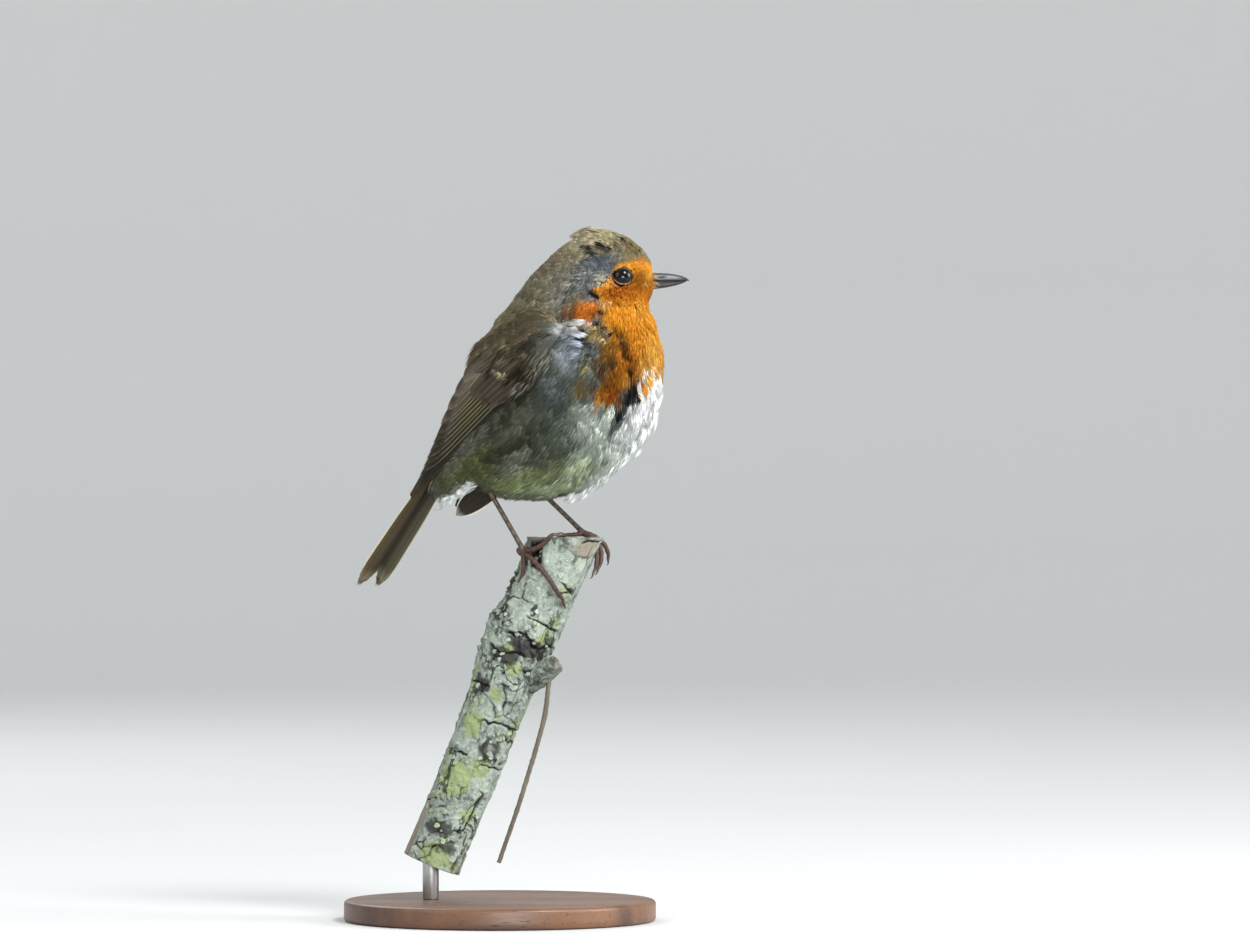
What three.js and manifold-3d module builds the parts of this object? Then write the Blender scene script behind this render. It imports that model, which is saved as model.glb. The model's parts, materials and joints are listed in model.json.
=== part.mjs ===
// A European robin, life size, gripping the cut end of a lichened branch. A rod holds the
// branch over a round base. Millimetres, +Z up. The bill points along +X, the bird's right
// side faces -Y, and the origin is the centre of the base's underside.
import * as THREE from "three";
import { mergeVertices } from "three/addons/utils/BufferGeometryUtils.js";
import Module from "manifold-3d";

const wasm = await Module();
wasm.setup();

// ---- Driving dimensions ----
const GAP = 0.3; // clearance between solids that meet
const DEGREE = Math.PI / 180;

// The trunk is turned to the bird's right under a head that looks along +X. The twist is
// taken up by the neck, between two heights, about an upright axis.
const TRUNK_TURN = -22 * DEGREE;
const TURN_AXIS_X = 26;
const NECK_LOW_Z = 166;
const NECK_HIGH_Z = 186;
const BIRD_Y = -8;

// Sections of the plumage's outer form, from under the tail to the bill: where each one
// meets the back and the belly, as [x, z], its half width, and how far down from the back
// it is widest.
const BODY_SECTIONS = [
  { back: [-25.0, 127.5], belly: [-20.5, 122.0], half: 1.6, widest: 0.5 },
  { back: [-22.6, 132.5], belly: [-16.0, 124.2], half: 5.0, widest: 0.5 },
  { back: [-19.6, 139.5], belly: [-8.0, 126.0], half: 10.0, widest: 0.5 },
  { back: [-16.5, 147.5], belly: [2.5, 124.3], half: 15.5, widest: 0.5 },
  { back: [-13.2, 155.5], belly: [14.5, 124.3], half: 19.6, widest: 0.5 },
  { back: [-9.6, 163.2], belly: [28.0, 128.8], half: 21.8, widest: 0.5 },
  { back: [-5.6, 170.2], belly: [39.9, 139.6], half: 22.6, widest: 0.52 },
  { back: [-1.2, 176.2], belly: [46.6, 152.4], half: 21.8, widest: 0.54 },
  { back: [3.6, 182.0], belly: [48.0, 164.5], half: 18.9, widest: 0.54 },
  { back: [8.5, 188.5], belly: [46.6, 173.8], half: 15.8, widest: 0.52 },
  { back: [14.2, 194.6], belly: [44.8, 179.5], half: 13.2, widest: 0.52 },
  { back: [21.5, 200.6], belly: [44.2, 182.0], half: 10.9, widest: 0.54 },
  { back: [29.2, 203.3], belly: [44.3, 183.2], half: 9.6, widest: 0.56 },
  { back: [36.0, 201.9], belly: [44.7, 184.0], half: 7.9, widest: 0.56 },
  { back: [41.2, 198.3], belly: [45.0, 184.6], half: 5.8, widest: 0.56 },
  { back: [44.3, 194.6], belly: [45.3, 185.0], half: 3.9, widest: 0.6 },
  { back: [45.4, 191.2], belly: [45.6, 185.6], half: 2.6, widest: 0.5 },
];
const BODY_RINGS = 34;
const BODY_SIDES = 26;
const BODY_ROUND = 0.88; // 1 is an ellipse, and less is a fuller section
const NECK_FROM = 8.1; // where the trunk ends and the head begins, counted in sections
const HEAD_FROM = 9.9;

// Folded wings: the upper and lower edge of each section, as [x, z], from the bend of the
// wing to its tip, where the wing leaves the flank and lies at its own distance from the
// middle.
const WING_SECTIONS = [
  { upper: [22.5, 174.4], lower: [22.8, 172.0] },
  { upper: [15.5, 177.6], lower: [21.3, 167.0] },
  { upper: [8.0, 177.0], lower: [18.0, 160.5] },
  { upper: [1.6, 172.6], lower: [12.4, 155.3] },
  { upper: [-4.0, 166.6], lower: [5.8, 151.8] },
  { upper: [-9.0, 159.4], lower: [-0.5, 147.6] },
  { upper: [-13.4, 151.4], lower: [-6.6, 142.8] },
  { upper: [-17.4, 143.8], lower: [-12.8, 137.6] },
  { upper: [-21.6, 136.4], lower: [-18.6, 132.0] },
  { upper: [-25.8, 129.5], lower: [-24.1, 127.0] },
  { upper: [-29.4, 123.4], lower: [-28.8, 122.7] },
];
const WING_RINGS = 18;
const WING_POINTS = 6; // along the outside of a section, from edge to edge
const WING_THICK = { root: 3.2, tip: 0.9 };
const WING_RISE = { edge: 0.9, middle: 2.2 }; // how far the wing stands out of the flank
const WING_LEAST_Y = 7.5;
const WING_LEAVES = 0.5; // share of the wing's length after which it lies free of the flank
// The left wing hangs lower from its bend than the right one, and its tip is fanned wider.
const WINGS = {
  right: { side: -1, droop: 0, raise: 0, tipY: 6.8, fan: 0 },
  left: { side: 1, droop: 7 * DEGREE, raise: 2.2, tipY: 13.5, fan: 3.4 },
};
const WING_BEND = new THREE.Vector3(21, 0, 171);

// The tail: a closed fan, rolled a little about its own length.
const TAIL_ROOT = new THREE.Vector3(-18.2, 0, 137.5);
const TAIL_TIP = new THREE.Vector3(-44.2, 0, 98.9);
const TAIL_HALF = { root: 5.2, tip: 5.5 };
const TAIL_THICK = { root: 3.0, tip: 1.1 };
const TAIL_ROLL = 24 * DEGREE;
const TAIL_NOTCH = 2.6;

// Eyes and bill.
const EYE = { x: 36.1, z: 189.2, radius: 3.2, bulge: 0.8 };
const BILL = { base: 43.6, tip: 55.8, tipZ: 188.3, lowerTip: 54.8, half: 2.3 };
const GAPE_Z = 187.7;
const CULMEN_Z = 190.9;
const CHIN_Z = 185.5;

// The branch leans along its own axis, from the sawn foot to the cut top.
const BRANCH_TOP = new THREE.Vector3(19.2, 0, 112.8);
const BRANCH_FOOT = new THREE.Vector3(-20.4, 0, 16.5);
const BRANCH_RINGS = 20;
const BRANCH_SIDES = 20;
const BRANCH_RADII = [8.7, 8.6, 8.5, 8.6, 9.0, 9.4, 9.5, 9.8, 10.5]; // evenly, from foot to top
const KNOTS = [
  { along: 0.7, toward: 175, rise: 2.2, spread: 0.07, width: 42 },
  { along: 0.6, toward: 200, rise: 1.3, spread: 0.05, width: 40 },
  { along: 0.3, toward: 60, rise: 0.8, spread: 0.06, width: 50 },
];
const STUB = { from: [8.4, -3, 69.5], to: [16.4, -8.6, 75.9], radius: 3.1 };
const STEM = {
  radius: 0.8,
  points: [[14.6, -7.2, 71], [13.4, -7.2, 61], [10.8, -7, 51], [8.1, -6.8, 42], [5.1, -6.6, 32.5], [2, -6.3, 23.6],
    [-0.2, -6, 17.2]],
};

// The stand.
const BASE = { radius: 46, height: 6, bevel: 1.2 };
const ROD = { radius: 2.4, into: 11 };

// Legs: the ankle, at the edge of the belly, and the foot, where the toes meet.
const LEG_RADIUS = 0.78;
const RIGHT_LEG = { hip: [-3.6, -6.6, 134.0], ankle: [-3.0, -7.2, 126.6], foot: [7.0, -6.2, 109.2] };
const LEFT_LEG = { hip: [9.6, 6.2, 133.0], ankle: [13.2, 6.4, 125.2], foot: [24.6, 2.6, 114.2] };
const THIGH_RADIUS = { hip: 5.2, ankle: 1.5 };
const TOE_RADIUS = { foot: 0.8, end: 0.6 };
const CLAW_RADIUS = { root: 0.5, tip: 0.26 };

// ---- Solids and meshes ----

function solidFrom(geometry) {
  for (const extra of ["normal", "uv"]) geometry.deleteAttribute(extra);
  const merged = mergeVertices(geometry, 1e-4);
  const vertProperties = new Float32Array(merged.attributes.position.array);
  const triVerts = new Uint32Array(merged.index.array);
  const made = new wasm.Manifold(new wasm.Mesh({ numProp: 3, vertProperties, triVerts }));
  if (made.volume() > 0) return made;
  for (let i = 0; i < triVerts.length; i += 3)
    [triVerts[i], triVerts[i + 1]] = [triVerts[i + 1], triVerts[i]];
  return new wasm.Manifold(new wasm.Mesh({ numProp: 3, vertProperties, triVerts }));
}

// A solid with every vertex moved out along its normal, to cut a hollow with.
function grown(solid, by = GAP) {
  const { vertProperties, triVerts, numProp } = solid.getMesh();
  const corner = (i) => new THREE.Vector3().fromArray(vertProperties, i * numProp);
  const outward = Array.from({ length: vertProperties.length / numProp }, () => new THREE.Vector3());
  for (let i = 0; i < triVerts.length; i += 3) {
    const [a, b, c] = [corner(triVerts[i]), corner(triVerts[i + 1]), corner(triVerts[i + 2])];
    const face = b.sub(a).cross(c.sub(a));
    for (let k = 0; k < 3; k++) outward[triVerts[i + k]].add(face);
  }
  const moved = outward.map((normal, i) => corner(i).addScaledVector(normal.normalize(), by));
  return solidFrom(new THREE.BufferGeometry().setFromPoints(moved).setIndex([...triVerts]));
}

// A closed solid through rings of equal count, with a fan across each end.
function loft(rings) {
  const around = rings[0].length;
  const points = rings.flat();
  const faces = [];
  for (let i = 0; i + 1 < rings.length; i++)
    for (let j = 0; j < around; j++) {
      const a = i * around + j;
      const b = i * around + ((j + 1) % around);
      faces.push(a, b, b + around, a, b + around, a + around);
    }
  for (const [ring, first] of [[rings[0], 0], [rings.at(-1), (rings.length - 1) * around]]) {
    const middle = points.length;
    points.push(ring.reduce((sum, p) => sum.add(p), new THREE.Vector3()).divideScalar(around));
    for (let j = 0; j < around; j++) {
      const next = (j + 1) % around;
      if (first === 0) faces.push(middle, first + next, first + j);
      else faces.push(middle, first + j, first + next);
    }
  }
  return new THREE.BufferGeometry().setFromPoints(points).setIndex(faces);
}

// A round tube along a curve, with a radius for each share of its length.
function tube(curve, radiusAt, steps, sides) {
  const frames = curve.computeFrenetFrames(steps, false);
  const rings = [];
  for (let i = 0; i <= steps; i++) {
    const centre = curve.getPointAt(i / steps);
    const radius = radiusAt(i / steps);
    const ring = [];
    for (let j = 0; j < sides; j++) {
      const angle = (2 * Math.PI * j) / sides;
      ring.push(centre.clone()
        .addScaledVector(frames.normals[i], radius * Math.cos(angle))
        .addScaledVector(frames.binormals[i], radius * Math.sin(angle)));
    }
    rings.push(ring);
  }
  return loft(rings);
}

const vector = ([x, y, z]) => new THREE.Vector3(x, y, z);
const curveThrough = (points) => new THREE.CatmullRomCurve3(points, false, "centripetal");
const blend = (ends, share) => THREE.MathUtils.lerp(ends[0], ends[1], share);

const part = new THREE.Group();

function add(name, solid, material) {
  const { vertProperties, triVerts, numProp } = solid.getMesh();
  const geometry = new THREE.BufferGeometry();
  const positions = new Float32Array((vertProperties.length / numProp) * 3);
  for (let i = 0; i < positions.length / 3; i++)
    positions.set(vertProperties.subarray(i * numProp, i * numProp + 3), i * 3);
  geometry.setAttribute("position", new THREE.BufferAttribute(positions, 3));
  geometry.setIndex(new THREE.BufferAttribute(triVerts, 1));
  geometry.computeVertexNormals();
  const mesh = new THREE.Mesh(geometry, material);
  mesh.name = name;
  part.add(mesh);
}

const finish = (color, roughness, metalness = 0) =>
  new THREE.MeshStandardMaterial({ color, roughness, metalness });
const MATERIALS = {
  plumage: finish(0x7d7462, 0.9),
  face: finish(0xe07a1c, 0.9),
  wing: finish(0x5e5240, 0.8),
  eye: finish(0x0c0a09, 0.08),
  bill: finish(0x3c383a, 0.4),
  leg: finish(0x5a2f22, 0.55),
  claw: finish(0x2e211c, 0.45),
  bark: finish(0xaeb8a6, 0.95),
  twig: finish(0x4a4238, 0.85),
  base: finish(0x4b3526, 0.45),
  rod: finish(0x8a8c8e, 0.35, 1),
};

// ---- The bird's body ----

// Turns a point of the straight, symmetric bird to its place in the pose.
function pose(point) {
  const share = 1 - THREE.MathUtils.smoothstep(point.z, NECK_LOW_Z, NECK_HIGH_Z);
  const angle = TRUNK_TURN * share;
  const x = point.x - TURN_AXIS_X;
  const [c, s] = [Math.cos(angle), Math.sin(angle)];
  return new THREE.Vector3(TURN_AXIS_X + x * c - point.y * s, BIRD_Y + x * s + point.y * c, point.z);
}

const backLine = curveThrough(BODY_SECTIONS.map((s) => new THREE.Vector3(s.back[0], 0, s.back[1])));
const bellyLine = curveThrough(BODY_SECTIONS.map((s) => new THREE.Vector3(s.belly[0], 0, s.belly[1])));
const girth = curveThrough(BODY_SECTIONS.map((s) => new THREE.Vector3(s.half, s.widest, 0)));

// One section of the straight body: an egg-shaped ring from the back round to the belly.
function bodyRing(section) {
  const share = section / (BODY_SECTIONS.length - 1);
  const back = backLine.getPoint(share);
  const belly = bellyLine.getPoint(share);
  const { x: half, y: widest } = girth.getPoint(share);
  const middle = back.clone().lerp(belly, widest);
  const ring = [];
  for (let j = 0; j < BODY_SIDES; j++) {
    const angle = (2 * Math.PI * j) / BODY_SIDES;
    const end = Math.cos(angle) > 0 ? back : belly;
    const point = middle.clone().lerp(end, Math.abs(Math.cos(angle)) ** BODY_ROUND);
    point.y = half * Math.sign(Math.sin(angle)) * Math.abs(Math.sin(angle)) ** BODY_ROUND;
    ring.push(point);
  }
  return ring;
}

function bodyBetween(from, to) {
  const steps = Math.max(4, Math.round(((to - from) / (BODY_SECTIONS.length - 1)) * BODY_RINGS));
  const rings = [];
  for (let i = 0; i <= steps; i++) rings.push(bodyRing(blend([from, to], i / steps)));
  return rings;
}

const posed = (rings) => solidFrom(loft(rings.map((ring) => ring.map(pose))));
const SECTION_GAP = GAP / 6; // a thin cut, in sections, which lie about 6 mm apart
const bodyRings = bodyBetween(0, BODY_SECTIONS.length - 1);
const wholeBody = posed(bodyRings);
let trunk = posed(bodyBetween(0, NECK_FROM));
const neck = posed(bodyBetween(NECK_FROM + SECTION_GAP, HEAD_FROM));
let head = posed(bodyBetween(HEAD_FROM + SECTION_GAP, BODY_SECTIONS.length - 1));

// The half width of the straight body at a place in its side view, or 0 outside it.
function flankAt(x, z) {
  let widest = 0;
  const inside = (p, a, b, c) => {
    const area = (b.x - a.x) * (c.z - a.z) - (c.x - a.x) * (b.z - a.z);
    if (Math.abs(area) < 1e-9) return null;
    const u = ((p[0] - a.x) * (c.z - a.z) - (c.x - a.x) * (p[1] - a.z)) / area;
    const v = ((b.x - a.x) * (p[1] - a.z) - (p[0] - a.x) * (b.z - a.z)) / area;
    return u >= 0 && v >= 0 && u + v <= 1 ? a.y + u * (b.y - a.y) + v * (c.y - a.y) : null;
  };
  for (let i = 0; i + 1 < bodyRings.length; i++)
    for (let j = 0; j < BODY_SIDES / 2; j++) {
      const [ring, next] = [bodyRings[i], bodyRings[i + 1]];
      const corners = [ring[j], ring[j + 1], next[j + 1], next[j]];
      for (const [a, b, c] of [[0, 1, 2], [0, 2, 3]]) {
        const y = inside([x, z], corners[a], corners[b], corners[c]);
        if (y !== null) widest = Math.max(widest, y);
      }
    }
  return widest;
}

// ---- Wings ----

const wingUpper = curveThrough(WING_SECTIONS.map((s) => new THREE.Vector3(s.upper[0], 0, s.upper[1])));
const wingLower = curveThrough(WING_SECTIONS.map((s) => new THREE.Vector3(s.lower[0], 0, s.lower[1])));

// A folded wing that lies on the flank and leaves it towards its tip.
function wingSolid({ side, droop, raise, tipY, fan }) {
  const hinge = new THREE.Vector3(WING_BEND.x, 0, WING_BEND.z + raise);
  const hang = (p) => p.sub(WING_BEND).applyAxisAngle(new THREE.Vector3(0, 1, 0), -droop).add(hinge);
  const rings = [];
  for (let i = 0; i <= WING_RINGS; i++) {
    const share = i / WING_RINGS;
    const upper = hang(wingUpper.getPoint(share));
    const lower = hang(wingLower.getPoint(share));
    lower.add(new THREE.Vector3(0.75, 0, -0.2).multiplyScalar(fan * Math.sin(Math.PI * share ** 4)));
    const thick = blend([WING_THICK.root, WING_THICK.tip], share);
    const free = THREE.MathUtils.smoothstep(share, WING_LEAVES, 1);
    const outside = [];
    const inside = [];
    for (let k = 0; k < WING_POINTS; k++) {
      const across = k / (WING_POINTS - 1);
      const swell = Math.sqrt(Math.sin(Math.PI * across));
      const { x, z } = upper.clone().lerp(lower, across);
      const flank = flankAt(x, z);
      const leaving = blend([Math.max(flank, WING_LEAST_Y), tipY + 2 * across], free);
      const y = Math.max(flank, leaving) + blend([WING_RISE.edge, WING_RISE.middle], swell) * (1 - 0.5 * free);
      outside.push(pose(new THREE.Vector3(x, side * y, z)));
      inside.unshift(pose(new THREE.Vector3(x, side * (y - thick), z)));
    }
    rings.push([...outside, ...inside]);
  }
  return solidFrom(loft(rings));
}

// ---- Tail ----

function tailSolid() {
  const along = TAIL_TIP.clone().sub(TAIL_ROOT);
  const length = along.length();
  along.normalize();
  const across = new THREE.Vector3(0, 1, 0).applyAxisAngle(along, TAIL_ROLL);
  const up = across.clone().cross(along);
  const shares = [0, 0.25, 0.5, 0.75, 0.9, 0.97, 1];
  const sides = 12;
  const rings = shares.map((share) => {
    const taper = Math.sqrt(1 - Math.max(0, (share - 0.9) / 0.1) ** 2 * 0.6);
    const half = blend([TAIL_HALF.root, TAIL_HALF.tip], share) * taper;
    const thick = blend([TAIL_THICK.root, TAIL_THICK.tip], share) / 2;
    const ring = [];
    for (let j = 0; j < sides; j++) {
      const angle = (2 * Math.PI * j) / sides;
      const sideways = Math.cos(angle);
      const notch = Math.max(0, share - 0.9) * 10 * TAIL_NOTCH * (1 - Math.abs(sideways));
      const point = TAIL_ROOT.clone()
        .addScaledVector(along, share * length - notch)
        .addScaledVector(across, half * sideways)
        .addScaledVector(up, thick * Math.sin(angle));
      ring.push(pose(point));
    }
    return ring;
  });
  return solidFrom(loft(rings));
}

// ---- Head pieces ----

function eyeSolid(side) {
  const ball = new THREE.SphereGeometry(EYE.radius, 16, 10);
  const out = flankAt(EYE.x, EYE.z) + EYE.bulge - EYE.radius;
  const centre = pose(new THREE.Vector3(EYE.x, side * out, EYE.z));
  ball.translate(centre.x, centre.y, centre.z);
  return solidFrom(ball);
}

// One half of the bill. bow bends its outer line, from the base's height to the tip.
function billSolid(outerZ, innerZ, tip, bow) {
  const steps = 8;
  const sides = 8;
  const rings = [];
  for (let i = 0; i <= steps; i++) {
    const share = i / steps;
    const x = blend([BILL.base, tip], share);
    const outer = blend([outerZ, BILL.tipZ], share ** bow);
    const inner = blend([innerZ, BILL.tipZ], share);
    const half = Math.max(0.35, BILL.half * (1 - share ** 1.15));
    const middle = (outer + inner) / 2;
    const tall = Math.max(0.22, Math.abs(outer - inner) / 2);
    const ring = [];
    for (let j = 0; j < sides; j++) {
      const angle = (2 * Math.PI * j) / sides;
      const point = new THREE.Vector3(x, half * Math.cos(angle), middle + tall * Math.sin(angle));
      ring.push(pose(point));
    }
    rings.push(ring);
  }
  return solidFrom(loft(rings));
}

const HALF_GAP = GAP / 2;
const billUpper = billSolid(CULMEN_Z, GAPE_Z + HALF_GAP, BILL.tip, 2.6);
const billLower = billSolid(CHIN_Z, GAPE_Z - HALF_GAP, BILL.lowerTip, 1.4).subtract(grown(billUpper));
const bill = { upper: billUpper, lower: billLower };
const eyes = { right: eyeSolid(-1), left: eyeSolid(1) };

// ---- Branch, stub and stem ----

const branchAxis = BRANCH_TOP.clone().sub(BRANCH_FOOT).normalize();
const branchRight = new THREE.Vector3(branchAxis.z, 0, -branchAxis.x);
const branchLength = BRANCH_TOP.distanceTo(BRANCH_FOOT);
const radiusCurve = new THREE.SplineCurve(BRANCH_RADII.map((r, i) => new THREE.Vector2(i, r)));
const branchRadius = (share) => radiusCurve.getPoint(THREE.MathUtils.clamp(share, 0, 1)).y;

// A place by the branch: how far below its top, the angle round it from the side that faces
// -Y towards +X, in degrees, and how far off its surface.
function byBranch(below, angle, off) {
  const radius = branchRadius(1 - below / branchLength) + off;
  return BRANCH_TOP.clone()
    .addScaledVector(branchAxis, -below)
    .addScaledVector(branchRight, radius * Math.sin(angle * DEGREE))
    .addScaledVector(new THREE.Vector3(0, -1, 0), radius * Math.cos(angle * DEGREE));
}

// How far the knots lift the bark at a share of the length and an angle from +X.
function knotRise(share, angle) {
  return KNOTS.reduce((sum, knot) => {
    const off = ((angle - knot.toward + 540) % 360) - 180;
    return sum + knot.rise * Math.exp(-(((share - knot.along) / knot.spread) ** 2) - (off / knot.width) ** 2);
  }, 0);
}

function branchSolid() {
  const rings = [];
  for (let i = 0; i <= BRANCH_RINGS; i++) {
    const share = i / BRANCH_RINGS;
    const radius = branchRadius(share);
    const ring = [];
    for (let j = 0; j < BRANCH_SIDES; j++) {
      const angle = (2 * Math.PI * j) / BRANCH_SIDES;
      const wave = 0.18 * Math.sin(3 * angle + 9 * share) + 0.14 * Math.sin(5 * angle - 14 * share);
      const lumpy = radius + wave + knotRise(share, angle / DEGREE);
      const point = BRANCH_FOOT.clone()
        .addScaledVector(branchAxis, share * branchLength)
        .addScaledVector(branchRight, lumpy * Math.cos(angle))
        .addScaledVector(new THREE.Vector3(0, 1, 0), lumpy * Math.sin(angle));
      // The top is cut level and the foot square.
      if (i === BRANCH_RINGS) point.addScaledVector(branchAxis, (BRANCH_TOP.z - point.z) / branchAxis.z);
      ring.push(point);
    }
    rings.push(ring);
  }
  return solidFrom(loft(rings));
}

const stubLine = curveThrough([vector(STUB.from), vector(STUB.to)]);
const stub = solidFrom(tube(stubLine, () => STUB.radius, 4, 14));
const stemLine = curveThrough(STEM.points.map(vector));
const stem = solidFrom(tube(stemLine, () => STEM.radius, 16, 7));

// ---- Legs and feet ----

// Toe routes by the branch, from the foot to the root of the claw, and the claw's tip, each
// [below the top, angle, off the surface], or a place [x, y, z] where the toe lies clear.
const RIGHT_TOES = {
  middle: { route: [[9.6, -34, 1.0], [12, -6, 0.9], [14.9, 18, 0.9], [17.2, 38, 0.9]], claw: [19.4, 54, 0.3] },
  inner: { route: [[6.4, -36, 1.6], [3.4, -24, 1.6], [0.6, -18, 1.6]], claw: [-1.2, -2, -1.4] },
  outer: { route: [[8.6, -82, 1.2], [9.4, -108, 1.0], [10, -128, 0.9]], claw: [11.2, -150, 0.3] },
  hind: { route: [[11.4, -50, 1.0], [14.6, -44, 0.9]], claw: [17.6, -52, 0.3] },
};
const LEFT_TOES = {
  inner: { places: [[27.4, 0.4, 111.6], [28.6, -1.4, 107.6], [28.2, -2.6, 103.6]], claw: [26.6, -3.2, 100.6] },
  middle: { places: [[27.6, 2.4, 112.2], [29.8, 2.0, 109.0], [29.6, 1.2, 104.8]], claw: [28.0, 0.6, 101.6] },
  outer: { places: [[28.0, 4.4, 112.9], [30.8, 5.8, 110.6], [32.0, 7.2, 107.4]], claw: [31.6, 8.4, 104.4] },
  hind: { places: [[22.6, 1.6, 113.6], [19.6, 0.4, 113.5]], claw: [16.6, -0.6, 113.1] },
};

function toeSolids(foot, toe) {
  const places = toe.places ? toe.places.map(vector) : toe.route.map((p) => byBranch(...p));
  const tip = toe.places ? vector(toe.claw) : byBranch(...toe.claw);
  const start = foot.clone().lerp(places[0], 0.1);
  const last = places.at(-1);
  const clawRoot = last.clone().lerp(tip, 0.12);
  const bow = last.clone().lerp(tip, 0.6).add(last.clone().sub(places.at(-2)).multiplyScalar(0.12));
  const toeLine = curveThrough([start, ...places]);
  const clawLine = curveThrough([clawRoot, bow, tip]);
  const knuckles = (share) => blend([TOE_RADIUS.foot, TOE_RADIUS.end], share);
  const sharpen = (share) => blend([CLAW_RADIUS.root, CLAW_RADIUS.tip], share);
  return {
    toe: solidFrom(tube(toeLine, knuckles, 8, 6)),
    claw: solidFrom(tube(clawLine, sharpen, 4, 6)),
  };
}

function legSolids(leg) {
  const [hip, ankle, foot] = [leg.hip, leg.ankle, leg.foot].map(vector);
  const thighLine = curveThrough([hip, ankle]);
  const swell = (share) => blend([THIGH_RADIUS.hip, THIGH_RADIUS.ankle], share ** 0.8);
  const down = foot.clone().sub(ankle);
  const shankStart = ankle.clone().addScaledVector(down.clone().normalize(), 3 * GAP);
  const shankLine = curveThrough([shankStart, foot]);
  const ends = (share) => LEG_RADIUS * (1 + 0.35 * (Math.abs(2 * share - 1)) ** 6);
  return {
    thigh: solidFrom(tube(thighLine, swell, 4, 10)),
    tarsus: solidFrom(tube(shankLine, ends, 8, 7)),
  };
}

// ---- Assembly: what lies in a hollow of its neighbour is cut out of it with a gap ----

const cutAll = (solid, cutters) => cutters.reduce((rest, cutter) => rest.subtract(cutter), solid);
const largest = (solid) => solid.decompose().sort((a, b) => b.volume() - a.volume())[0];
const LEGS = { right: [RIGHT_LEG, RIGHT_TOES], left: [LEFT_LEG, LEFT_TOES] };

const tail = tailSolid();
const bodyHollow = grown(wholeBody);
const wings = {
  right: largest(wingSolid(WINGS.right).subtract(bodyHollow)),
  left: largest(wingSolid(WINGS.left).subtract(bodyHollow)),
};

const faceHollows = [...Object.values(eyes), ...Object.values(bill)].map((piece) => grown(piece));
trunk = trunk.subtract(grown(tail));
head = cutAll(head, faceHollows);
let branch = cutAll(branchSolid(), [grown(stub), grown(stem)]);

for (const [side, [leg, toes]] of Object.entries(LEGS)) {
  const { thigh, tarsus } = legSolids(leg);
  const shankHollow = grown(tarsus);
  trunk = cutAll(trunk, [grown(thigh), shankHollow]);
  branch = branch.subtract(shankHollow);
  add(`thigh_${side}`, thigh, MATERIALS.plumage);
  add(`tarsus_${side}`, tarsus, MATERIALS.leg);
  const hollows = [shankHollow];
  for (const [name, toe] of Object.entries(toes)) {
    const made = toeSolids(vector(leg.foot), toe);
    const clawHollow = grown(made.claw);
    const clear = largest(cutAll(made.toe, [...hollows, clawHollow]));
    add(`toe_${side}_${name}`, clear, MATERIALS.leg);
    add(`claw_${side}_${name}`, made.claw, MATERIALS.claw);
    hollows.push(grown(made.toe), clawHollow);
  }
  branch = cutAll(branch, hollows);
}

const rodHeight = BRANCH_FOOT.z + ROD.into - BASE.height - GAP;
const rod = solidFrom(new THREE.CylinderGeometry(ROD.radius, ROD.radius, rodHeight, 20)
  .rotateX(Math.PI / 2)
  .translate(BRANCH_FOOT.x, 0, BASE.height + GAP + rodHeight / 2));
branch = branch.subtract(grown(rod, 1.4 * GAP));

const rim = [[0, 0], [BASE.radius, 0], [BASE.radius, BASE.height - BASE.bevel],
  [BASE.radius - BASE.bevel, BASE.height], [0, BASE.height]];
const base = new THREE.LatheGeometry(rim.map(([r, z]) => new THREE.Vector2(r, z)), 48).rotateX(Math.PI / 2);

add("trunk", largest(trunk), MATERIALS.plumage);
add("neck", largest(neck), MATERIALS.plumage);
add("head", largest(head), MATERIALS.face);
add("tail", tail, MATERIALS.wing);
for (const side of ["right", "left"]) {
  add(`wing_${side}`, wings[side], MATERIALS.wing);
  add(`eye_${side}`, eyes[side], MATERIALS.eye);
}
add("bill_upper", bill.upper, MATERIALS.bill);
add("bill_lower", bill.lower, MATERIALS.bill);
add("perch_branch", largest(branch), MATERIALS.bark);
add("perch_stub", stub, MATERIALS.bark);
add("perch_stem", largest(stem.subtract(grown(stub))), MATERIALS.twig);
add("stand_rod", rod, MATERIALS.rod);
add("stand_base", solidFrom(base), MATERIALS.base);

export default part;
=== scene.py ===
"""Looks of the European robin on its cut branch: skin, feathers, eyes, bill, feet, bark and stand."""

import json
import math

import bmesh
import bpy
import numpy as np
from mathutils import Matrix, Vector
from mathutils.bvhtree import BVHTree
from mathutils.kdtree import KDTree

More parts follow.
